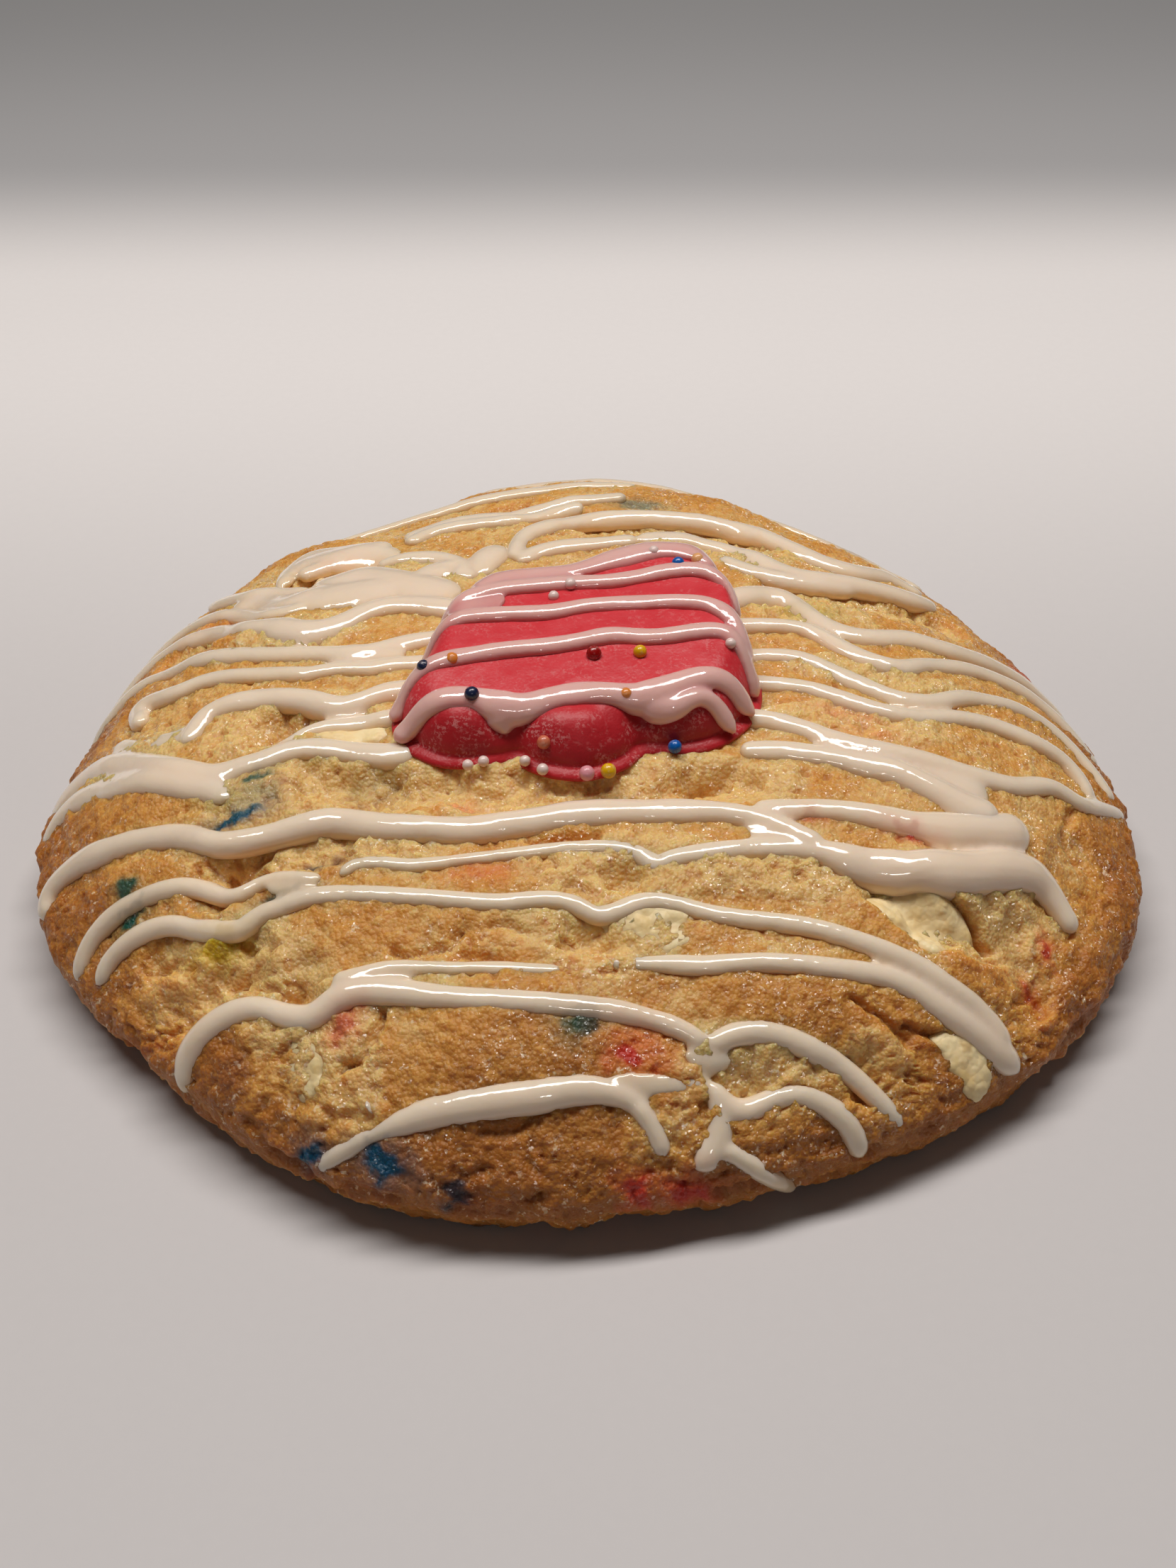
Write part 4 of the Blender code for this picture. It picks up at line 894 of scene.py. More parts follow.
def dough_material():
    """Crust from pale crumb over golden to brown, with specks, stains, pale sugar specks that are partly
    painted glints, painted shade in its hollows and cracks, and sugar facets that glint.
    """
    colours = settings("cookie_colours")
    material, tree, shader = new_material("cookie_crust")
    # Browning of the crust; the extra darkening at the rim is partly real browning and partly painted shade
    # of the sides
    bake_and_rim_shade = attribute(tree, "bake_and_rim_shade").outputs["Fac"]
    stain = attribute(tree, "stain")
    shade = attribute(tree, "shade").outputs["Fac"]
    grain = use_group(tree, "baked_grain", {"Grains per metre": 1050.0, "Grit share": 0.7})
    broad = use_group(tree, "baked_grain", {"Grains per metre": 170.0, "Grit share": 0.3})
    facets = use_group(tree, "sugar_facets", {"Facets per metre": 3800.0})
    large_facets = use_group(tree, "sugar_facets", {"Facets per metre": 1500.0})
    uneven = maths(tree, "MULTIPLY", maths(tree, "SUBTRACT", broad.outputs["Mask"], 0.5), 1.1)
    fine = maths(tree, "MULTIPLY", maths(tree, "SUBTRACT", grain.outputs["Mask"], 0.5), 0.65)
    own = maths(tree, "MULTIPLY", maths(tree, "SUBTRACT", large_facets.outputs["Own value"], 0.5), 0.2)
    level = maths(tree, "ADD", maths(tree, "ADD", maths(tree, "ADD", bake_and_rim_shade, uneven), fine), own)
    first = mix(tree, spread(tree, level, 0.0, 0.55), (*colours.crumb, 1), (*colours.golden, 1))
    crust = mix(tree, spread(tree, level, 0.5, 1.2), first, (*colours.brown, 1))
    dark = use_group(tree, "specks", {"Specks per metre": 620.0, "Threshold": 0.57, "Softness": 0.08})
    speckled = mix(tree, maths(tree, "MULTIPLY", dark.outputs[0], 0.5), crust, DARK_SPECK)
    # Pale sugar specks, partly painted glints: the colour is lightened in clusters of specks
    light = use_group(tree, "specks", {"Specks per metre": 1700.0, "Threshold": 0.6, "Softness": 0.06})
    patch = use_group(tree, "specks", {"Specks per metre": 260.0, "Threshold": 0.45, "Softness": 0.15})
    sugar_glint = maths(tree, "MULTIPLY", light.outputs[0], maths(tree, "ADD", patch.outputs[0], 0.3))
    sugar_and_glint = mix(tree, maths(tree, "MULTIPLY", sugar_glint, 0.5), speckled, SUGAR_AND_GLINT_SPECK)
    # Painted shade: the crust colour is darkened where the shade mask marks hollows, cracks, pits and notches
    deep = mix(tree, shade, sugar_and_glint, PAINTED_SHADE_TINT, "MULTIPLY")
    stained = mix(tree, stain.outputs["Alpha"], deep, stain.outputs["Color"])
    tree.links.new(stained, shader.inputs["Base Color"])
    set_values(shader, {"Roughness": 0.5, "Specular IOR Level": 0.35, "Subsurface Weight": 0.65,
                        "Subsurface Radius": (1.0, 0.55, 0.2), "Subsurface Scale": 0.0022,
                        "Coat Roughness": 0.15, "Coat IOR": 1.7})
    bump = bump_node(tree, grain.outputs["Height"], 0.6, 0.00035)
    sugar = bump_node(tree, large_facets.outputs["Height"], 0.34, 0.0005, bump)
    tree.links.new(sugar, shader.inputs["Normal"])
    shiny = spread(tree, facets.outputs["Own value"], 0.4, 0.6)
    shiny = maths(tree, "MULTIPLY", shiny, maths(tree, "ADD", patch.outputs[0], 0.3), True)
    shiny = maths(tree, "MULTIPLY", shiny, maths(tree, "SUBTRACT", 1.0, shade), True)
    shiny = maths(tree, "MULTIPLY", shiny, spread(tree, bake_and_rim_shade, 0.9, 1.4, 1.0, 0.3))
    tree.links.new(shiny, shader.inputs["Coat Weight"])
    sparkle = bump_node(tree, facets.outputs["Height"], 0.9, 0.0005, bump)
    tree.links.new(sparkle, shader.inputs["Coat Normal"])
    return material


def icing_material(name, colour, edge, edge_share, tint_share):
    """Glossy icing that takes on the edge colour where it is thin, and a tint of what lies under it."""
    material, tree, shader = new_material(name)
    tint = attribute(tree, "stain")
    thin = attribute(tree, "thin").outputs["Fac"]
    soft = use_group(tree, "specks", {"Specks per metre": 120.0, "Threshold": 0.42, "Softness": 0.3})
    base = mix(tree, maths(tree, "MULTIPLY", soft.outputs[0], 0.3), (*colour, 1),
               (colour[0] * 0.97, colour[1] * 0.92, colour[2] * 0.84, 1))
    edged = mix(tree, maths(tree, "MULTIPLY", thin, edge_share), base, (*edge, 1))
    strength = maths(tree, "MULTIPLY", tint.outputs["Alpha"], tint_share)
    tree.links.new(mix(tree, strength, edged, tint.outputs["Color"]), shader.inputs["Base Color"])
    set_values(shader, {"Roughness": 0.3, "Specular IOR Level": 0.15, "Subsurface Weight": 0.5,
                        "Subsurface Radius": (1.0, 0.75, 0.45), "Subsurface Scale": 0.0018,
                        "Coat Weight": 1.0, "Coat Roughness": 0.04, "Coat IOR": 1.6})
    ripple = use_group(tree, "baked_grain", {"Grains per metre": 420.0, "Grit share": 0.05})
    bump = bump_node(tree, ripple.outputs["Height"], 0.14, 0.0004)
    tree.links.new(bump, shader.inputs["Normal"])
    tree.links.new(bump, shader.inputs["Coat Normal"])
    return material


def frosting_material():
    """Pink frosting with a dry white bloom on its lobes, and painted shade on its low front."""
    pink = settings("cookie_colours").frosting
    material, tree, shader = new_material("frosting_with_bloom")
    bloom = attribute(tree, "bloom").outputs["Fac"]
    dust = use_group(tree, "specks", {"Specks per metre": 3400.0, "Threshold": 0.5, "Softness": 0.1})
    patch = use_group(tree, "specks", {"Specks per metre": 520.0, "Threshold": 0.44, "Softness": 0.2})
    share = maths(tree, "MULTIPLY", dust.outputs[0], patch.outputs[0])
    share = maths(tree, "MULTIPLY", share, maths(tree, "ADD", bloom, 0.2), True)
    mottle = use_group(tree, "baked_grain", {"Grains per metre": 300.0, "Grit share": 0.2})
    base = mix(tree, spread(tree, mottle.outputs["Mask"], 0.35, 0.7), (*pink, 1),
               (pink[0] * 1.08, pink[1] * 1.5, pink[2] * 1.4, 1))
    # Painted shade: the low front of the biscuit is darkened
    low = attribute(tree, "low").outputs["Fac"]
    base = mix(tree, maths(tree, "MULTIPLY", low, 0.75), base, PAINTED_PINK_SHADE)
    dusty = mix(tree, maths(tree, "MULTIPLY", share, 0.6), base, PINK_DUST)
    tree.links.new(dusty, shader.inputs["Base Color"])
    tree.links.new(spread(tree, share, 0.0, 1.0, 0.4, 0.65), shader.inputs["Roughness"])
    set_values(shader, {"Specular IOR Level": 0.3, "Subsurface Weight": 0.2,
                        "Subsurface Radius": (1.0, 0.3, 0.3), "Subsurface Scale": 0.0008})
    grain = use_group(tree, "baked_grain", {"Grains per metre": 1500.0, "Grit share": 0.4})
    tree.links.new(bump_node(tree, grain.outputs["Height"], 0.3, 0.00012), shader.inputs["Normal"])
    return material


def chocolate_material():
    colour = settings("cookie_colours").chocolate
    material, tree, shader = new_material("chocolate_chunk")
    cloud = use_group(tree, "baked_grain", {"Grains per metre": 350.0, "Grit share": 0.3})
    base = mix(tree, spread(tree, cloud.outputs["Mask"], 0.3, 0.75), (*colour, 1),
               (colour[0] * 0.92, colour[1] * 0.82, colour[2] * 0.62, 1))
    toast = use_group(tree, "specks", {"Specks per metre": 500.0, "Threshold": 0.62, "Softness": 0.1})
    toasted = mix(tree, maths(tree, "MULTIPLY", toast.outputs[0], 0.5), base, TOASTED)
    tree.links.new(toasted, shader.inputs["Base Color"])
    set_values(shader, {"Roughness": 0.5, "Subsurface Weight": 0.35, "Subsurface Radius": (1.0, 0.8, 0.4),
                        "Subsurface Scale": 0.001})
    tree.links.new(bump_node(tree, cloud.outputs["Height"], 0.8, 0.0006), shader.inputs["Normal"])
    return material


def ball_material():
    material, tree, shader = new_material("sugar_shell")
    paint = attribute(tree, "paint").outputs["Color"]
    dust = use_group(tree, "specks", {"Specks per metre": 1800.0, "Threshold": 0.56, "Softness": 0.1})
    pale = mix(tree, maths(tree, "MULTIPLY", dust.outputs[0], 0.2), paint, BALL_DUST)
    tree.links.new(pale, shader.inputs["Base Color"])
    set_values(shader, {"Roughness": 0.3, "Coat Weight": 0.3})
    return material


def floor_material():
    """Pale near the cookie, with a painted band of light behind it and a painted falloff to darker grey
    further back.
    """
    colour = settings("cookie_colours").floor
    material, tree, shader = new_material("pale_floor")
    where = place_node(tree, "ShaderNodeTexCoord").outputs["Object"]
    depth = place_node(tree, "ShaderNodeSeparateXYZ", {0: where}).outputs["Y"]
    # Painted light: brighter behind the cookie, then a painted falloff to grey further back
    painted_light_band = mix(tree, spread(tree, depth, 0.0, 0.11), (*colour, 1), (0.84, 0.8, 0.78, 1))
    painted_falloff = mix(tree, spread(tree, depth, 0.15, 0.26), (0.42, 0.41, 0.41, 1), (0.33, 0.325, 0.325, 1))
    near = mix(tree, spread(tree, depth, 0.125, 0.175), painted_light_band, painted_falloff)
    fibre = use_group(tree, "baked_grain", {"Grains per metre": 900.0, "Grit share": 0.2})
    shade = mix(tree, maths(tree, "MULTIPLY", fibre.outputs["Mask"], 0.06), near, (0.3, 0.3, 0.3, 1))
    tree.links.new(shade, shader.inputs["Base Color"])
    set_values(shader, {"Roughness": 0.62})
    return material


def stain_at(x, y, points, spill):
    """Colour and strength that the flecks leave at points of the surface.

    Spill is how far the halo of a fleck goes, in its own half widths.
    """
    warp_x = x + 0.55 * noise(points, 1.1, 31) + 0.3 * noise(points, 0.5, 32)
    warp_y = y + 0.55 * noise(points, 1.1, 33) + 0.3 * noise(points, 0.5, 34)
    total = np.zeros((len(x), 3))
    weight = np.zeros(len(x))
    strength = np.zeros(len(x))
    for fx, fy, half_x, half_y, turn, power, colour in FLECKS:
        c, s = math.cos(math.radians(turn)), math.sin(math.radians(turn))
        dx, dy = warp_x - fx, warp_y - fy
        u = (dx * c + dy * s) / half_x
        v = (-dx * s + dy * c) / half_y
        d = np.sqrt(u * u + v * v)
        core = 1 - smooth_step(0.5, 1.05, d)
        halo = (1 - smooth_step(0.6, spill, d)) * 0.4
        here = power * np.maximum(core, halo)
        deep = 1 - 0.35 * core * (power > 0.6)
        total += (here * deep)[:, None] * np.array(STAIN_COLOURS[colour])
        weight += here
        strength = np.maximum(strength, here)
    colour = total / np.maximum(weight, 1e-6)[:, None]
    return colour, np.clip(strength, 0, 1)


def set_float(mesh, name, values):
    layer = mesh.attributes.new(name, "FLOAT", "POINT")
    layer.data.foreach_set("value", np.asarray(values, dtype=np.float32))


def set_colour(mesh, name, colour, alpha):
    layer = mesh.attributes.new(name, "FLOAT_COLOR", "POINT")
    data = np.concatenate([colour, alpha[:, None]], axis=1).astype(np.float32)
    layer.data.foreach_set("color", data.ravel())


def crumb_amount(x, y, points):
    """Where the crust is open and the pale crumb shows."""
    wx = x + 1.3 * noise(points, 3.2, 11)
    wy = y + 1.3 * noise(points, 3.2, 12)
    amount = np.zeros_like(x)
    for cx, cy, half_x, half_y in CRUMB_PATCHES:
        d = np.sqrt(((wx - cx) / half_x) ** 2 + ((wy - cy) / half_y) ** 2)
        amount = np.maximum(amount, 1 - smooth_step(0.75, 1.1, d))
    return amount


def dough_skin(x, y, shares):
    """The rough skin of the dough, with how open it is, how much painted shade its hollows and cracks get,
    and how lumpy it is at each point.
    """
    sizes = settings("cookie_sizes")
    plain = surface_points(x, y, False)
    warp_x = x + 0.8 * noise(plain, 2.6, 1) + 0.35 * noise(plain, 1.1, 2)
    warp_y = y + 0.8 * noise(plain, 2.6, 3) + 0.35 * noise(plain, 1.1, 4)
    fade = np.clip((1.0 - shares) / 0.05, 0, 1)
    cracks = grooves(warp_x, warp_y, CRACKS, 1.5)
    fissures = grooves(warp_x, warp_y, FISSURES, 1.6, True) + 1.15 * bumps(warp_x, warp_y, HOLLOWS)
    points = plain.copy()
    points[:, 2] += (bumps(x, y, MOUNDS) - fissures) * fade
    crumb = crumb_amount(x, y, plain)
    crumb = np.maximum(crumb, smooth_step(0.5, 1.4, fissures) * 0.9) * np.clip(fade + 0.15, 0, 1)
    stir = np.stack([noise(plain, 0.9, seed) for seed in (5, 6, 7)], axis=1)
    moved = plain + 0.25 * stir
    large, large_own = grains(moved, LARGE_GRAIN, 21)
    small, small_own = grains(moved, SMALL_GRAIN, 22)
    large_dome = np.sqrt(np.clip(1 - (large / 0.9) ** 2, 0, 1))
    small_dome = np.sqrt(np.clip(1 - (small / 0.9) ** 2, 0, 1))
    sunk = smooth_step(0.84, 0.96, large_own)
    lumps = noise(plain, 8.0, 23) * 0.6 + noise(plain, 4.0, 24) * 0.4
    crackle = np.exp(-(noise(plain, 3.4, 25) / 0.07) ** 2) * smooth_step(-0.1, 0.4, noise(plain, 9.0, 26))
    rough = 0.6 * large_dome + 0.6 * small_dome + 0.55 * (large_own - 0.5) + 0.5 * (small_own - 0.5)
    push = sizes.unevenness / MM * lumps
    push += sizes.crumb_height / MM * crumb * (rough - 1.1 * sunk - 0.35)
    push += (1 - crumb) * (0.16 * large_dome + 0.18 * small_dome + 0.22 * (small_own - 0.5) - 0.18)
    push += 0.13 * noise(plain, 0.85, 41)
    pits = smooth_step(0.86, 0.95, small_own) * smooth_step(0.75, 0.35, small)
    pits = pits * smooth_step(-0.2, 0.3, noise(plain, 6.0, 36))
    push -= PIT_DEPTH * pits
    push -= (1 - 0.7 * crumb) * CRACKLE_DEPTH * crackle * smooth_step(1.0, 0.85, shares)
    push -= cracks * fade
    low = smooth_step(0.93, 1.02, shares)
    folds = noise(plain * np.array([1, 1, 3.2]), 4.4, 27)
    ragged = noise(plain, 2.2, 28)
    push += low * (0.3 * folds + 0.25 * ragged + 0.3 * small_dome) * np.clip((1.12 - shares) / 0.06, 0, 1)
    notch = smooth_step(0.1, 0.45, noise(plain * np.array([1, 1, 1.9]), 2.8, 29))
    notch = notch * smooth_step(0.97, 1.03, shares)
    push -= NOTCH_DEPTH * notch * np.clip((1.13 - shares) / 0.05, 0, 1)
    points += surface_normals(x, y) * push[:, None]
    # Painted shade mask: between the grains, in sunk crumb, cracks, crackle, notches and pits
    hollow = 0.3 * np.clip(0.9 - 0.65 * large_dome - 0.35 * small_dome, 0, 1) + 0.8 * sunk * crumb
    hollow += 1.4 * smooth_step(0.3, 1.2, cracks) + 0.5 * crackle * (1 - crumb) + 1.4 * notch + 1.2 * pits
    return points, crumb, fissures, hollow, lumps


def make_dough_mesh():
    """A disc of triangles, finer on the near side, with rows down the side and a flat base."""
    rings = settings("cookie_sizes").dough_rings
    shares, angles = disc_spots(rings, 1.15)
    ahead = shares * np.sin(angles) - 0.2 * (1 - shares ** 2)
    aside = shares * np.cos(angles)
    shares, angles = np.hypot(aside, ahead), np.arctan2(ahead, aside)
    faces, rim_first = disc_faces(rings)
    rim_count = 6 * rings
    total = len(shares)
    rim_angles = math.tau * np.arange(rim_count) / rim_count
    for row in range(1, SIDE_ROWS + 1):
        shares = np.concatenate([shares, np.full(rim_count, 1 + SIDE_SPAN * row / SIDE_ROWS)])
        angles = np.concatenate([angles, rim_angles])
    radius = shares * outline_radius(angles)
    x, y = radius * np.cos(angles), radius * np.sin(angles)
    quads = []
    last = rim_first
    for row in range(SIDE_ROWS):
        ring = total + row * rim_count
        quads += ring_band(last, ring, rim_count)
        last = ring
    points, crumb, fissures, hollow, lumps = dough_skin(x, y, shares)
    points[shares > 1 + 0.99 * SIDE_SPAN, 2] = 0.0
    points[:, 2] = np.maximum(points[:, 2], 0.0)
    base = tuple(range(last + rim_count - 1, last - 1, -1))
    piece = add_mesh("dough", to_frame(points), [faces, quads, [base]])
    # Browning on the mounds and lumps, less in the crumb; the rim terms are partly real browning and partly
    # painted shade of the sides
    bake_and_rim_shade = 0.34 + 0.38 * smooth_step(0.1, 0.9, bumps(x, y, MOUNDS)) + 0.82 * smooth_step(0.82, 1.0, shares)
    bake_and_rim_shade += 0.2 * lumps - 0.6 * crumb + 0.6 * smooth_step(0.98, 1.08, shares)
    # Painted shade in the hollows and the deep fissures
    shade = np.clip(0.5 * hollow + 0.3 * smooth_step(1.3, 2.7, fissures), 0, 1)
    colour, strength = stain_at(x, y, surface_points(x, y, False), 1.9)
    set_float(piece.data, "bake_and_rim_shade", bake_and_rim_shade)
    set_float(piece.data, "shade", shade)
    set_colour(piece.data, "stain", colour, strength)
    return piece


def smooth_route(route, step, default):
    """Evenly spaced points along a route, each with its half width."""
    knots = [(p[0], p[1], p[2] if len(p) > 2 else default) for p in route]
    spots = []
    count = len(knots)
    for i in range(count - 1):
        before, start, end = knots[max(i - 1, 0)], knots[i], knots[i + 1]
        after = knots[min(i + 2, count - 1)]
        pieces = max(1, round(math.dist(start[:2], end[:2]) / step))
        for j in range(pieces):
            t = j / pieces
            spots.append([
                0.5 * (2 * b + (c - a) * t + (2 * a - 5 * b + 4 * c - d) * t * t
                       + (3 * b - a - 3 * c + d) * t ** 3)
                for a, b, c, d in zip(before, start, end, after)
            ])
    spots.append(list(knots[-1]))
    return np.array(spots)


def even_out(values, passes):
    out = values.copy()
    for _ in range(passes):
        out[1:-1] = 0.25 * out[:-2] + 0.5 * out[1:-1] + 0.25 * out[2:]
    return out


def bead_shape(bed, ups, halves, rise, lift, seed):
    """Vertices and faces of one rounded bead that lies along the bed points."""
    count = len(bed)
    ahead = np.gradient(bed, axis=0)
    ahead /= np.maximum(np.linalg.norm(ahead, axis=1, keepdims=True), 1e-9)
    side = np.cross(ahead, ups)
    side /= np.maximum(np.linalg.norm(side, axis=1, keepdims=True), 1e-9)
    up = np.cross(side, ahead)
    steps = np.arange(BEAD_SIDES) * math.tau / BEAD_SIDES
    end = np.minimum(np.arange(count), np.arange(count)[::-1]) * BEAD_STEP
    rounding = np.sqrt(np.clip(1 - (1 - np.clip(end / np.maximum(halves, 0.3), 0, 1)) ** 2, 0.06, 1))
    wobble = 1 + 0.07 * noise(bed, 2.8, seed) + 0.04 * noise(bed, 1.2, seed + 1)
    wide = halves * rounding * wobble
    tall = 1.05 * halves * rise * rounding * (1 + 0.16 * noise(bed, 3.1, seed + 2))
    centre = bed + up * (lift * tall + 0.12 * smooth_step(1.5, 0.9, halves) - 0.02)[:, None]
    ring = (centre[:, None, :] + side[:, None, :] * (wide[:, None] * np.cos(steps))[:, :, None]
            + up[:, None, :] * (np.maximum(tall, 0.35)[:, None] * np.sin(steps))[:, :, None])
    points = ring.reshape(-1, 3)
    faces = []
    for first in range(0, (count - 1) * BEAD_SIDES, BEAD_SIDES):
        for k in range(BEAD_SIDES):
            m = (k + 1) % BEAD_SIDES
            faces.append((first + k, first + m, first + BEAD_SIDES + m, first + BEAD_SIDES + k))
    caps = [tuple(range(BEAD_SIDES - 1, -1, -1)),
            tuple(range((count - 1) * BEAD_SIDES, count * BEAD_SIDES))]
    return points, faces, caps


def strokes_piece(name, strokes, bed_of, up_of, voxel, lift, swell=1.0):
    """Lays the strokes, lets them flow together on a voxel grid and smooths them."""
    points, quads, caps = [], [], []
    offset = 0
    for number, (default, rise, route) in enumerate(strokes):
        spots = smooth_route(route, BEAD_STEP, default)
        if len(spots) < 4:
            spots = smooth_route(route, 0.2, default)
        bed = even_out(bed_of(spots[:, 0], spots[:, 1]), 5)
        ups = even_out(up_of(spots[:, 0], spots[:, 1]), 5)
        some, faces, ends = bead_shape(bed, ups, swell * spots[:, 2], rise, lift, 40 + 3 * number)
        points.append(some)
        quads += [tuple(v + offset for v in f) for f in faces]
        caps += [tuple(v + offset for v in f) for f in ends]
        offset += len(some)
    piece = add_mesh(name, to_frame(np.concatenate(points)), [quads, caps])
    remesh = piece.modifiers.new("flow", "REMESH")
    remesh.mode = "VOXEL"
    remesh.voxel_size = voxel
    remesh.use_smooth_shade = True
    soften = piece.modifiers.new("soften", "SMOOTH")
    soften.factor = 0.6
    soften.iterations = SOFTEN_PASSES
    graph = bpy.context.evaluated_depsgraph_get()
    made = bpy.data.meshes.new_from_object(piece.evaluated_get(graph))
    piece.modifiers.clear()
    old = piece.data
    piece.data = made
    made.name = name
    bpy.data.meshes.remove(old)
    flat = np.zeros(len(made.vertices) * 3, dtype=np.float32)
    made.vertices.foreach_get("co", flat)
    flat[2::3] = np.maximum(flat[2::3], DRIP_CLEARANCE)
    made.vertices.foreach_set("co", flat)
    made.shade_smooth()
    return piece


def set_thin(mesh, points, top_of):
    """How thin the icing is at each point, from its height above what it lies on."""
    height = points[:, 2] - top_of(points[:, 0], points[:, 1])[:, 2]
    set_float(mesh, "thin", 1 - smooth_step(0.05, 0.8, height))


def mesh_points(mesh):
    """Points of a finished mesh, back in millimetres round the outline's middle."""
    flat = np.zeros(len(mesh.vertices) * 3, dtype=np.float32)
    mesh.vertices.foreach_get("co", flat)
    points = flat.reshape(-1, 3).astype(float) / MM
    return points + np.array([MIDDLE[0], MIDDLE[1], 0.0])


def biscuit_radii(count):
    """Distance from the biscuit's centre to its outline at even angles."""
    closed = BISCUIT_OUTLINE[-1:] + BISCUIT_OUTLINE + BISCUIT_OUTLINE[:2]
    outline = smooth_route(closed, 0.6, 0.0)[:, :2] - np.array(BISCUIT_CENTRE)
    radii = []
    start, edge = outline[:-1], outline[1:] - outline[:-1]
    for i in range(count):
        angle = math.tau * i / count
        ux, uy = math.cos(angle), math.sin(angle)
        bottom = ux * edge[:, 1] - uy * edge[:, 0]
        bottom = np.where(np.abs(bottom) < 1e-9, 1e-9, bottom)
        reach = (start[:, 0] * edge[:, 1] - start[:, 1] * edge[:, 0]) / bottom
        along = (start[:, 0] * uy - start[:, 1] * ux) / bottom
        radii.append(np.max(np.where((along >= 0) & (along <= 1), reach, 0)))
    return np.array(radii)


BISCUIT_RADII = biscuit_radii(BISCUIT_ANGLES)


def biscuit_radius(angle):
    spot = (angle / math.tau * BISCUIT_ANGLES) % BISCUIT_ANGLES
    low = np.floor(spot).astype(int)
    part = spot - low
    after = (low + 1) % BISCUIT_ANGLES
    return BISCUIT_RADII[low % BISCUIT_ANGLES] * (1 - part) + BISCUIT_RADII[after] * part


def far_side(angle):
    """1 on the side away from the camera, where the biscuit's edge is steep, and 0 on the near side."""
    return smooth_step(-0.15, 0.45, np.sin(angle))


def biscuit_edge(angle):
    """Where the rounded top ends and the thin foot begins."""
    return biscuit_radius(angle) - 1.0 + 0.55 * far_side(angle)


def biscuit_top(x, y):
    """Height of the frosted top, which leans down to the lobes."""
    sizes = settings("cookie_biscuit")
    base, full, foot = sizes.base / MM, sizes.height / MM, sizes.foot / MM
    dx, dy = x - BISCUIT_CENTRE[0], y - BISCUIT_CENTRE[1]
    angle = np.arctan2(dy, dx)
    width = 3.4 + smooth_step(-6, -14, y) - 2.0 * far_side(angle)
    roll = np.clip((biscuit_edge(angle) - np.hypot(dx, dy)) / width, 0, 1)
    rise = (1 - (1 - roll) ** 2.2) ** 0.6
    lean = 1 - FRONT_LEAN * np.clip(4 - y, 0, 30) ** 2
    crown = (full - foot) * lean + bumps(x, y, LOBES) - grooves(x, y, LOBE_GROOVES)
    return base + foot + rise * crown


def biscuit_bed(x, y):
    return np.stack([x, y, biscuit_top(x, y)], axis=1)


def biscuit_up(x, y):
    step = 0.5
    slope_x = (biscuit_top(x + step, y) - biscuit_top(x - step, y)) / (2 * step)
    slope_y = (biscuit_top(x, y + step) - biscuit_top(x, y - step)) / (2 * step)
    up = np.stack([-slope_x, -slope_y, np.ones_like(x)], axis=1)
    return up / np.linalg.norm(up, axis=1, keepdims=True)


def make_biscuit_mesh():
    sizes = settings("cookie_biscuit")
    base, foot = sizes.base / MM, sizes.foot / MM
    shares, angles = disc_spots(BISCUIT_RINGS, 1.4)
    faces, rim_first = disc_faces(BISCUIT_RINGS)
    count = 6 * BISCUIT_RINGS
    edge = biscuit_edge(angles)
    x = BISCUIT_CENTRE[0] + shares * edge * np.cos(angles)
    y = BISCUIT_CENTRE[1] + shares * edge * np.sin(angles)
    points = np.stack([x, y, biscuit_top(x, y)], axis=1)
    rim_angles = math.tau * np.arange(count) / count
    rim = biscuit_radius(rim_angles)
    around = np.stack([np.cos(rim_angles) * 9, np.sin(rim_angles) * 9, rim * 0], axis=1)
    wave = 0.12 * noise(around, 1.6, 61)
    quads = []
    last, ring = rim_first, len(points)
    for inset, level in FOOT_ROWS:
        far = rim + inset * (1 - 0.6 * far_side(rim_angles)) + wave * (level > 0)
        row = np.stack([BISCUIT_CENTRE[0] + far * np.cos(rim_angles),
                        BISCUIT_CENTRE[1] + far * np.sin(rim_angles),
                        np.full(count, base + level * foot)], axis=1)
        quads += ring_band(last, ring, count)
        points = np.concatenate([points, row])
        last, ring = ring, ring + count
    in_foot = points[:, 2] < base + foot
    push = 0.10 * noise(points, 3.6, 62) + 0.05 * noise(points, 1.4, 63) + 0.02 * noise(points, 0.6, 64)
    points[:, 2] += np.where(in_foot, 0.3 * push, push)
    points[:, 2] = np.maximum(points[:, 2], base)
    bottom = tuple(range(last + count - 1, last - 1, -1))
    piece = add_mesh("frosted_biscuit", to_frame(points), [faces, quads, [bottom]])
    front = smooth_step(-9.5, -14.0, points[:, 1])
    steep = smooth_step(26.4, 23.5, points[:, 2])
    # Painted shade mask: on the front, and strongest low down towards the foot
    low = front * smooth_step(25.2, 23.6, points[:, 2]) + 0.4 * front
    bloom = 0.3 + 0.7 * front + 0.35 * steep + 0.3 * noise(points, 5, 65)
    set_float(piece.data, "low", np.clip(low, 0, 1))
    set_float(piece.data, "bloom", np.clip(bloom, 0, 1))
    return piece


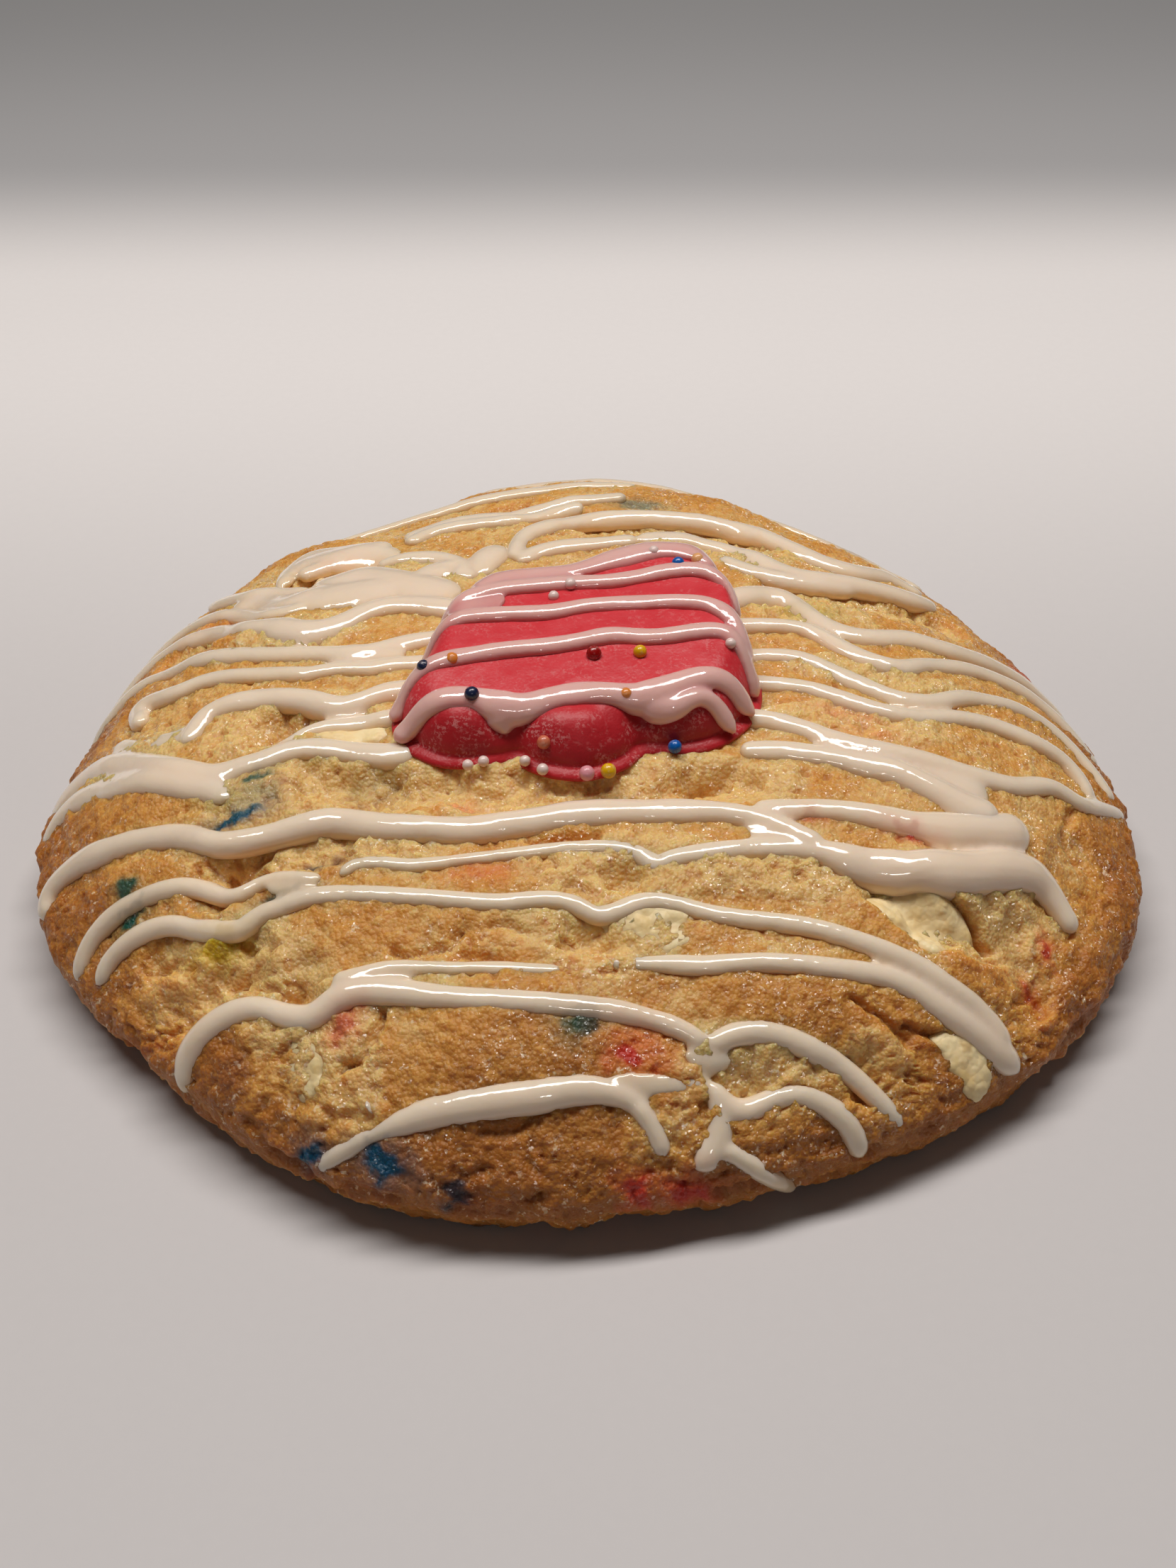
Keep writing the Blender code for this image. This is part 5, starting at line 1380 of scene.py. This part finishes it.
def make_balls_mesh():
    radius = settings("cookie_biscuit").ball / MM
    points, faces, paints = [], [], []
    shape = bmesh.new()
    bmesh.ops.create_icosphere(shape, subdivisions=3, radius=1.0)
    sphere = np.array([v.co[:] for v in shape.verts])
    triangles = np.array([[v.index for v in f.verts] for f in shape.faces])
    shape.free()
    for number, (x, y, lift, share, colour) in enumerate(SUGAR_BALLS):
        size = radius * share
        spot = np.array([[x, y]], dtype=float)
        up = biscuit_up(spot[:, 0], spot[:, 1])[0]
        seat = np.array([x, y, biscuit_top(spot[:, 0], spot[:, 1])[0]]) + up * (size * 0.3 + lift)
        some = seat + sphere * size * (1 + 0.04 * noise(sphere * 3 + number, 1.0, 71))[:, None]
        faces += [tuple(v + len(points) * len(sphere) for v in f) for f in triangles]
        points.append(some)
        paints.append(np.tile(BALL_COLOURS[colour], (len(sphere), 1)))
    piece = add_mesh("sugar_balls", to_frame(np.concatenate(points)), [faces])
    paint = np.concatenate(paints)
    set_colour(piece.data, "paint", paint, np.ones(len(paint)))
    return piece


def make_chunks_mesh():
    """Soft melted patches that lie in the dough, with ragged edges."""
    points, faces = [], []
    shares, angles = disc_spots(CHUNK_RINGS, 1.0)
    disc, rim_first = disc_faces(CHUNK_RINGS)
    count = 6 * CHUNK_RINGS
    for number, (cx, cy, length, width, turn, proud) in enumerate(CHUNKS):
        c, s = math.cos(math.radians(turn)), math.sin(math.radians(turn))
        around = np.stack([np.cos(angles) * 2, np.sin(angles) * 2, angles * 0 + number], axis=1)
        ragged = 1 + 0.22 * noise(around, 0.9, 81)
        u = shares * ragged * np.cos(angles) * length / 2
        v = shares * ragged * np.sin(angles) * width / 2
        x, y = cx + u * c - v * s, cy + u * s + v * c
        seat = surface_points(x, y)
        rise = proud * (1 - shares ** 4) - 1.3 * shares ** 8
        rise += 0.22 * noise(seat, 1.7, 82) + 0.08 * noise(seat, 0.7, 83)
        top = seat + surface_normals(x, y) * rise[:, None]
        bottom = top[rim_first:].copy()
        bottom[:, 2] -= CHUNK_DEPTH
        start = sum(len(p) for p in points)
        faces.append([tuple(v + start for v in f) for f in disc])
        low = start + len(top)
        faces.append(ring_band(start + rim_first, low, count))
        faces.append([tuple(range(low + count - 1, low - 1, -1))])
        points += [top, bottom]
    return add_mesh("white_chunks", to_frame(np.concatenate(points)), faces)


def finish_piece(piece, material, nodes):
    """Gives a piece its material, hangs it on the root and hides the nodes of the part that it stands for."""
    piece.data.materials.clear()
    piece.data.materials.append(material)
    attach(piece, "root")
    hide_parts(*nodes)


class COOKIE_OT_dough(bpy.types.Operator):
    """Make the baked dough with its mounds, fissures, crumb and coloured stains"""

    bl_idname = "cookie.dough"
    bl_label = "Baked dough"

    def execute(self, context):
        finish_piece(make_dough_mesh(), dough_material(), ["cookie"])
        return {"FINISHED"}


class COOKIE_OT_icing(bpy.types.Operator):
    """Drizzle the icing over the dough"""

    bl_idname = "cookie.icing"
    bl_label = "Drizzled icing"

    def execute(self, context):
        voxel = settings("cookie_icing").voxel
        material = icing_material("drizzled_icing", settings("cookie_colours").icing, ICING_EDGE, 0.45, 0.35)
        for name, strokes, swell in STROKE_GROUPS:
            piece = strokes_piece(name, strokes, icing_bed, surface_normals, voxel, ICING_LIFT, swell)
            points = mesh_points(piece.data)
            colour, strength = stain_at(points[:, 0], points[:, 1], points, 2.4)
            set_colour(piece.data, "stain", colour, strength)
            set_thin(piece.data, points, icing_bed)
            finish_piece(piece, material, ["cookie"])
        return {"FINISHED"}


class COOKIE_OT_biscuit(bpy.types.Operator):
    """Make the pink frosted biscuit"""

    bl_idname = "cookie.biscuit"
    bl_label = "Frosted biscuit"

    def execute(self, context):
        finish_piece(make_biscuit_mesh(), frosting_material(), ["pink_biscuit"])
        return {"FINISHED"}


class COOKIE_OT_biscuit_icing(bpy.types.Operator):
    """Drizzle the icing over the biscuit"""

    bl_idname = "cookie.biscuit_icing"
    bl_label = "Icing on the biscuit"

    def execute(self, context):
        voxel = settings("cookie_icing").biscuit_voxel
        piece = strokes_piece("biscuit_icing", BISCUIT_STROKES, biscuit_bed, biscuit_up, voxel,
                              BISCUIT_ICING_LIFT)
        points = mesh_points(piece.data)
        set_colour(piece.data, "stain", np.tile(PINK_FLUSH, (len(points), 1)), np.ones(len(points)))
        set_thin(piece.data, points, biscuit_bed)
        icing = settings("cookie_colours").icing
        pinkish = (icing[0], 0.88 * icing[1], icing[2])
        material = icing_material("biscuit_icing", pinkish, PINK_ICING_EDGE, 0.7, 0.3)
        finish_piece(piece, material, ["pink_biscuit"])
        return {"FINISHED"}


class COOKIE_OT_balls(bpy.types.Operator):
    """Set the coloured sugar balls on the biscuit"""

    bl_idname = "cookie.balls"
    bl_label = "Sugar balls"

    def execute(self, context):
        finish_piece(make_balls_mesh(), ball_material(), ["pink_biscuit"])
        return {"FINISHED"}


class COOKIE_OT_chunks(bpy.types.Operator):
    """Make the white chocolate chunks"""

    bl_idname = "cookie.chunks"
    bl_label = "White chocolate chunks"

    def execute(self, context):
        nodes = [f"white_chunk_{i + 1}" for i in range(len(CHUNKS))]
        finish_piece(make_chunks_mesh(), chocolate_material(), nodes)
        return {"FINISHED"}


def add_light(name, place, width, depth, power, colour):
    """A soft rectangular light, in metres and watts, that points at the cookie."""
    light = bpy.data.lights.new(name, "AREA")
    light.shape = "RECTANGLE"
    light.size = width
    light.size_y = depth
    light.energy = power
    light.color = colour
    lamp = bpy.data.objects.new(name, light)
    lamp.location = place
    lamp.rotation_euler = (Vector((0, 0, 0.01)) - Vector(place)).to_track_quat("-Z", "Y").to_euler()
    bpy.context.scene.collection.objects.link(lamp)


class COOKIE_OT_stage(bpy.types.Operator):
    """Lay the pale floor and set the soft lights and the camera"""

    bl_idname = "cookie.stage"
    bl_label = "Floor, lights and camera"

    def execute(self, context):
        scene = bpy.context.scene
        floor = add_mesh("floor", [(-2, -2, 0), (2, -2, 0), (2, 2, 0), (-2, 2, 0)], [[(0, 1, 2, 3)]], False)
        floor.data.materials.append(floor_material())
        world = bpy.data.worlds.new("soft_room")
        scene.world = world
        world.use_nodes = True
        sky = world.node_tree.nodes["Background"]
        sky.inputs["Color"].default_value = (1.0, 0.97, 0.95, 1)
        sky.inputs["Strength"].default_value = 0.03
        add_light("key", (-0.02, 0.09, 0.5), 0.56, 0.12, 2.75, (1.0, 0.965, 0.94))
        add_light("front", (0.05, -0.4, 0.34), 0.03, 0.03, 0.06, (1.0, 0.97, 0.94))
        eye = bpy.data.cameras.new("camera")
        eye.lens = 45.0
        eye.sensor_width = 36.0
        eye.clip_start = 0.01
        camera = bpy.data.objects.new("camera", eye)
        camera.location = (-MIDDLE[0] * MM, -0.1465 - MIDDLE[1] * MM, 0.1229)
        aim = Vector(((1.43 - MIDDLE[0]) * MM, (7.71 - MIDDLE[1]) * MM, 0))
        camera.rotation_euler = (aim - camera.location).to_track_quat("-Z", "Y").to_euler()
        scene.collection.objects.link(camera)
        scene.camera = camera
        scene.view_settings.view_transform = "Standard"
        return {"FINISHED"}


OPERATORS = (
    COOKIE_OT_stage,
    COOKIE_OT_dough,
    COOKIE_OT_chunks,
    COOKIE_OT_icing,
    COOKIE_OT_biscuit,
    COOKIE_OT_biscuit_icing,
    COOKIE_OT_balls,
)


class COOKIE_PT_panel(bpy.types.Panel):
    """Lists the cookie's pieces and sizes"""

    bl_idname = "COOKIE_PT_panel"
    bl_label = "Birthday cake cookie"
    bl_space_type = "VIEW_3D"
    bl_region_type = "UI"
    bl_category = "Cookie"

    def draw(self, context):
        for operator in OPERATORS:
            self.layout.operator(operator.bl_idname)
        for name, group in GROUPS.items():
            box = self.layout.box()
            for key in group.__annotations__:
                box.prop(getattr(context.scene, name), key)


CLASSES = tuple(GROUPS.values()) + OPERATORS + (COOKIE_PT_panel,)


def register():
    for item in CLASSES:
        bpy.utils.register_class(item)
    for name, group in GROUPS.items():
        setattr(bpy.types.Scene, name, PointerProperty(type=group))


def unregister():
    for name in GROUPS:
        delattr(bpy.types.Scene, name)
    for item in reversed(CLASSES):
        bpy.utils.unregister_class(item)


def main():
    register()
    for operator in OPERATORS:
        group, name = operator.bl_idname.split(".")
        getattr(getattr(bpy.ops, group), name)()


if __name__ == "__main__":
    main()
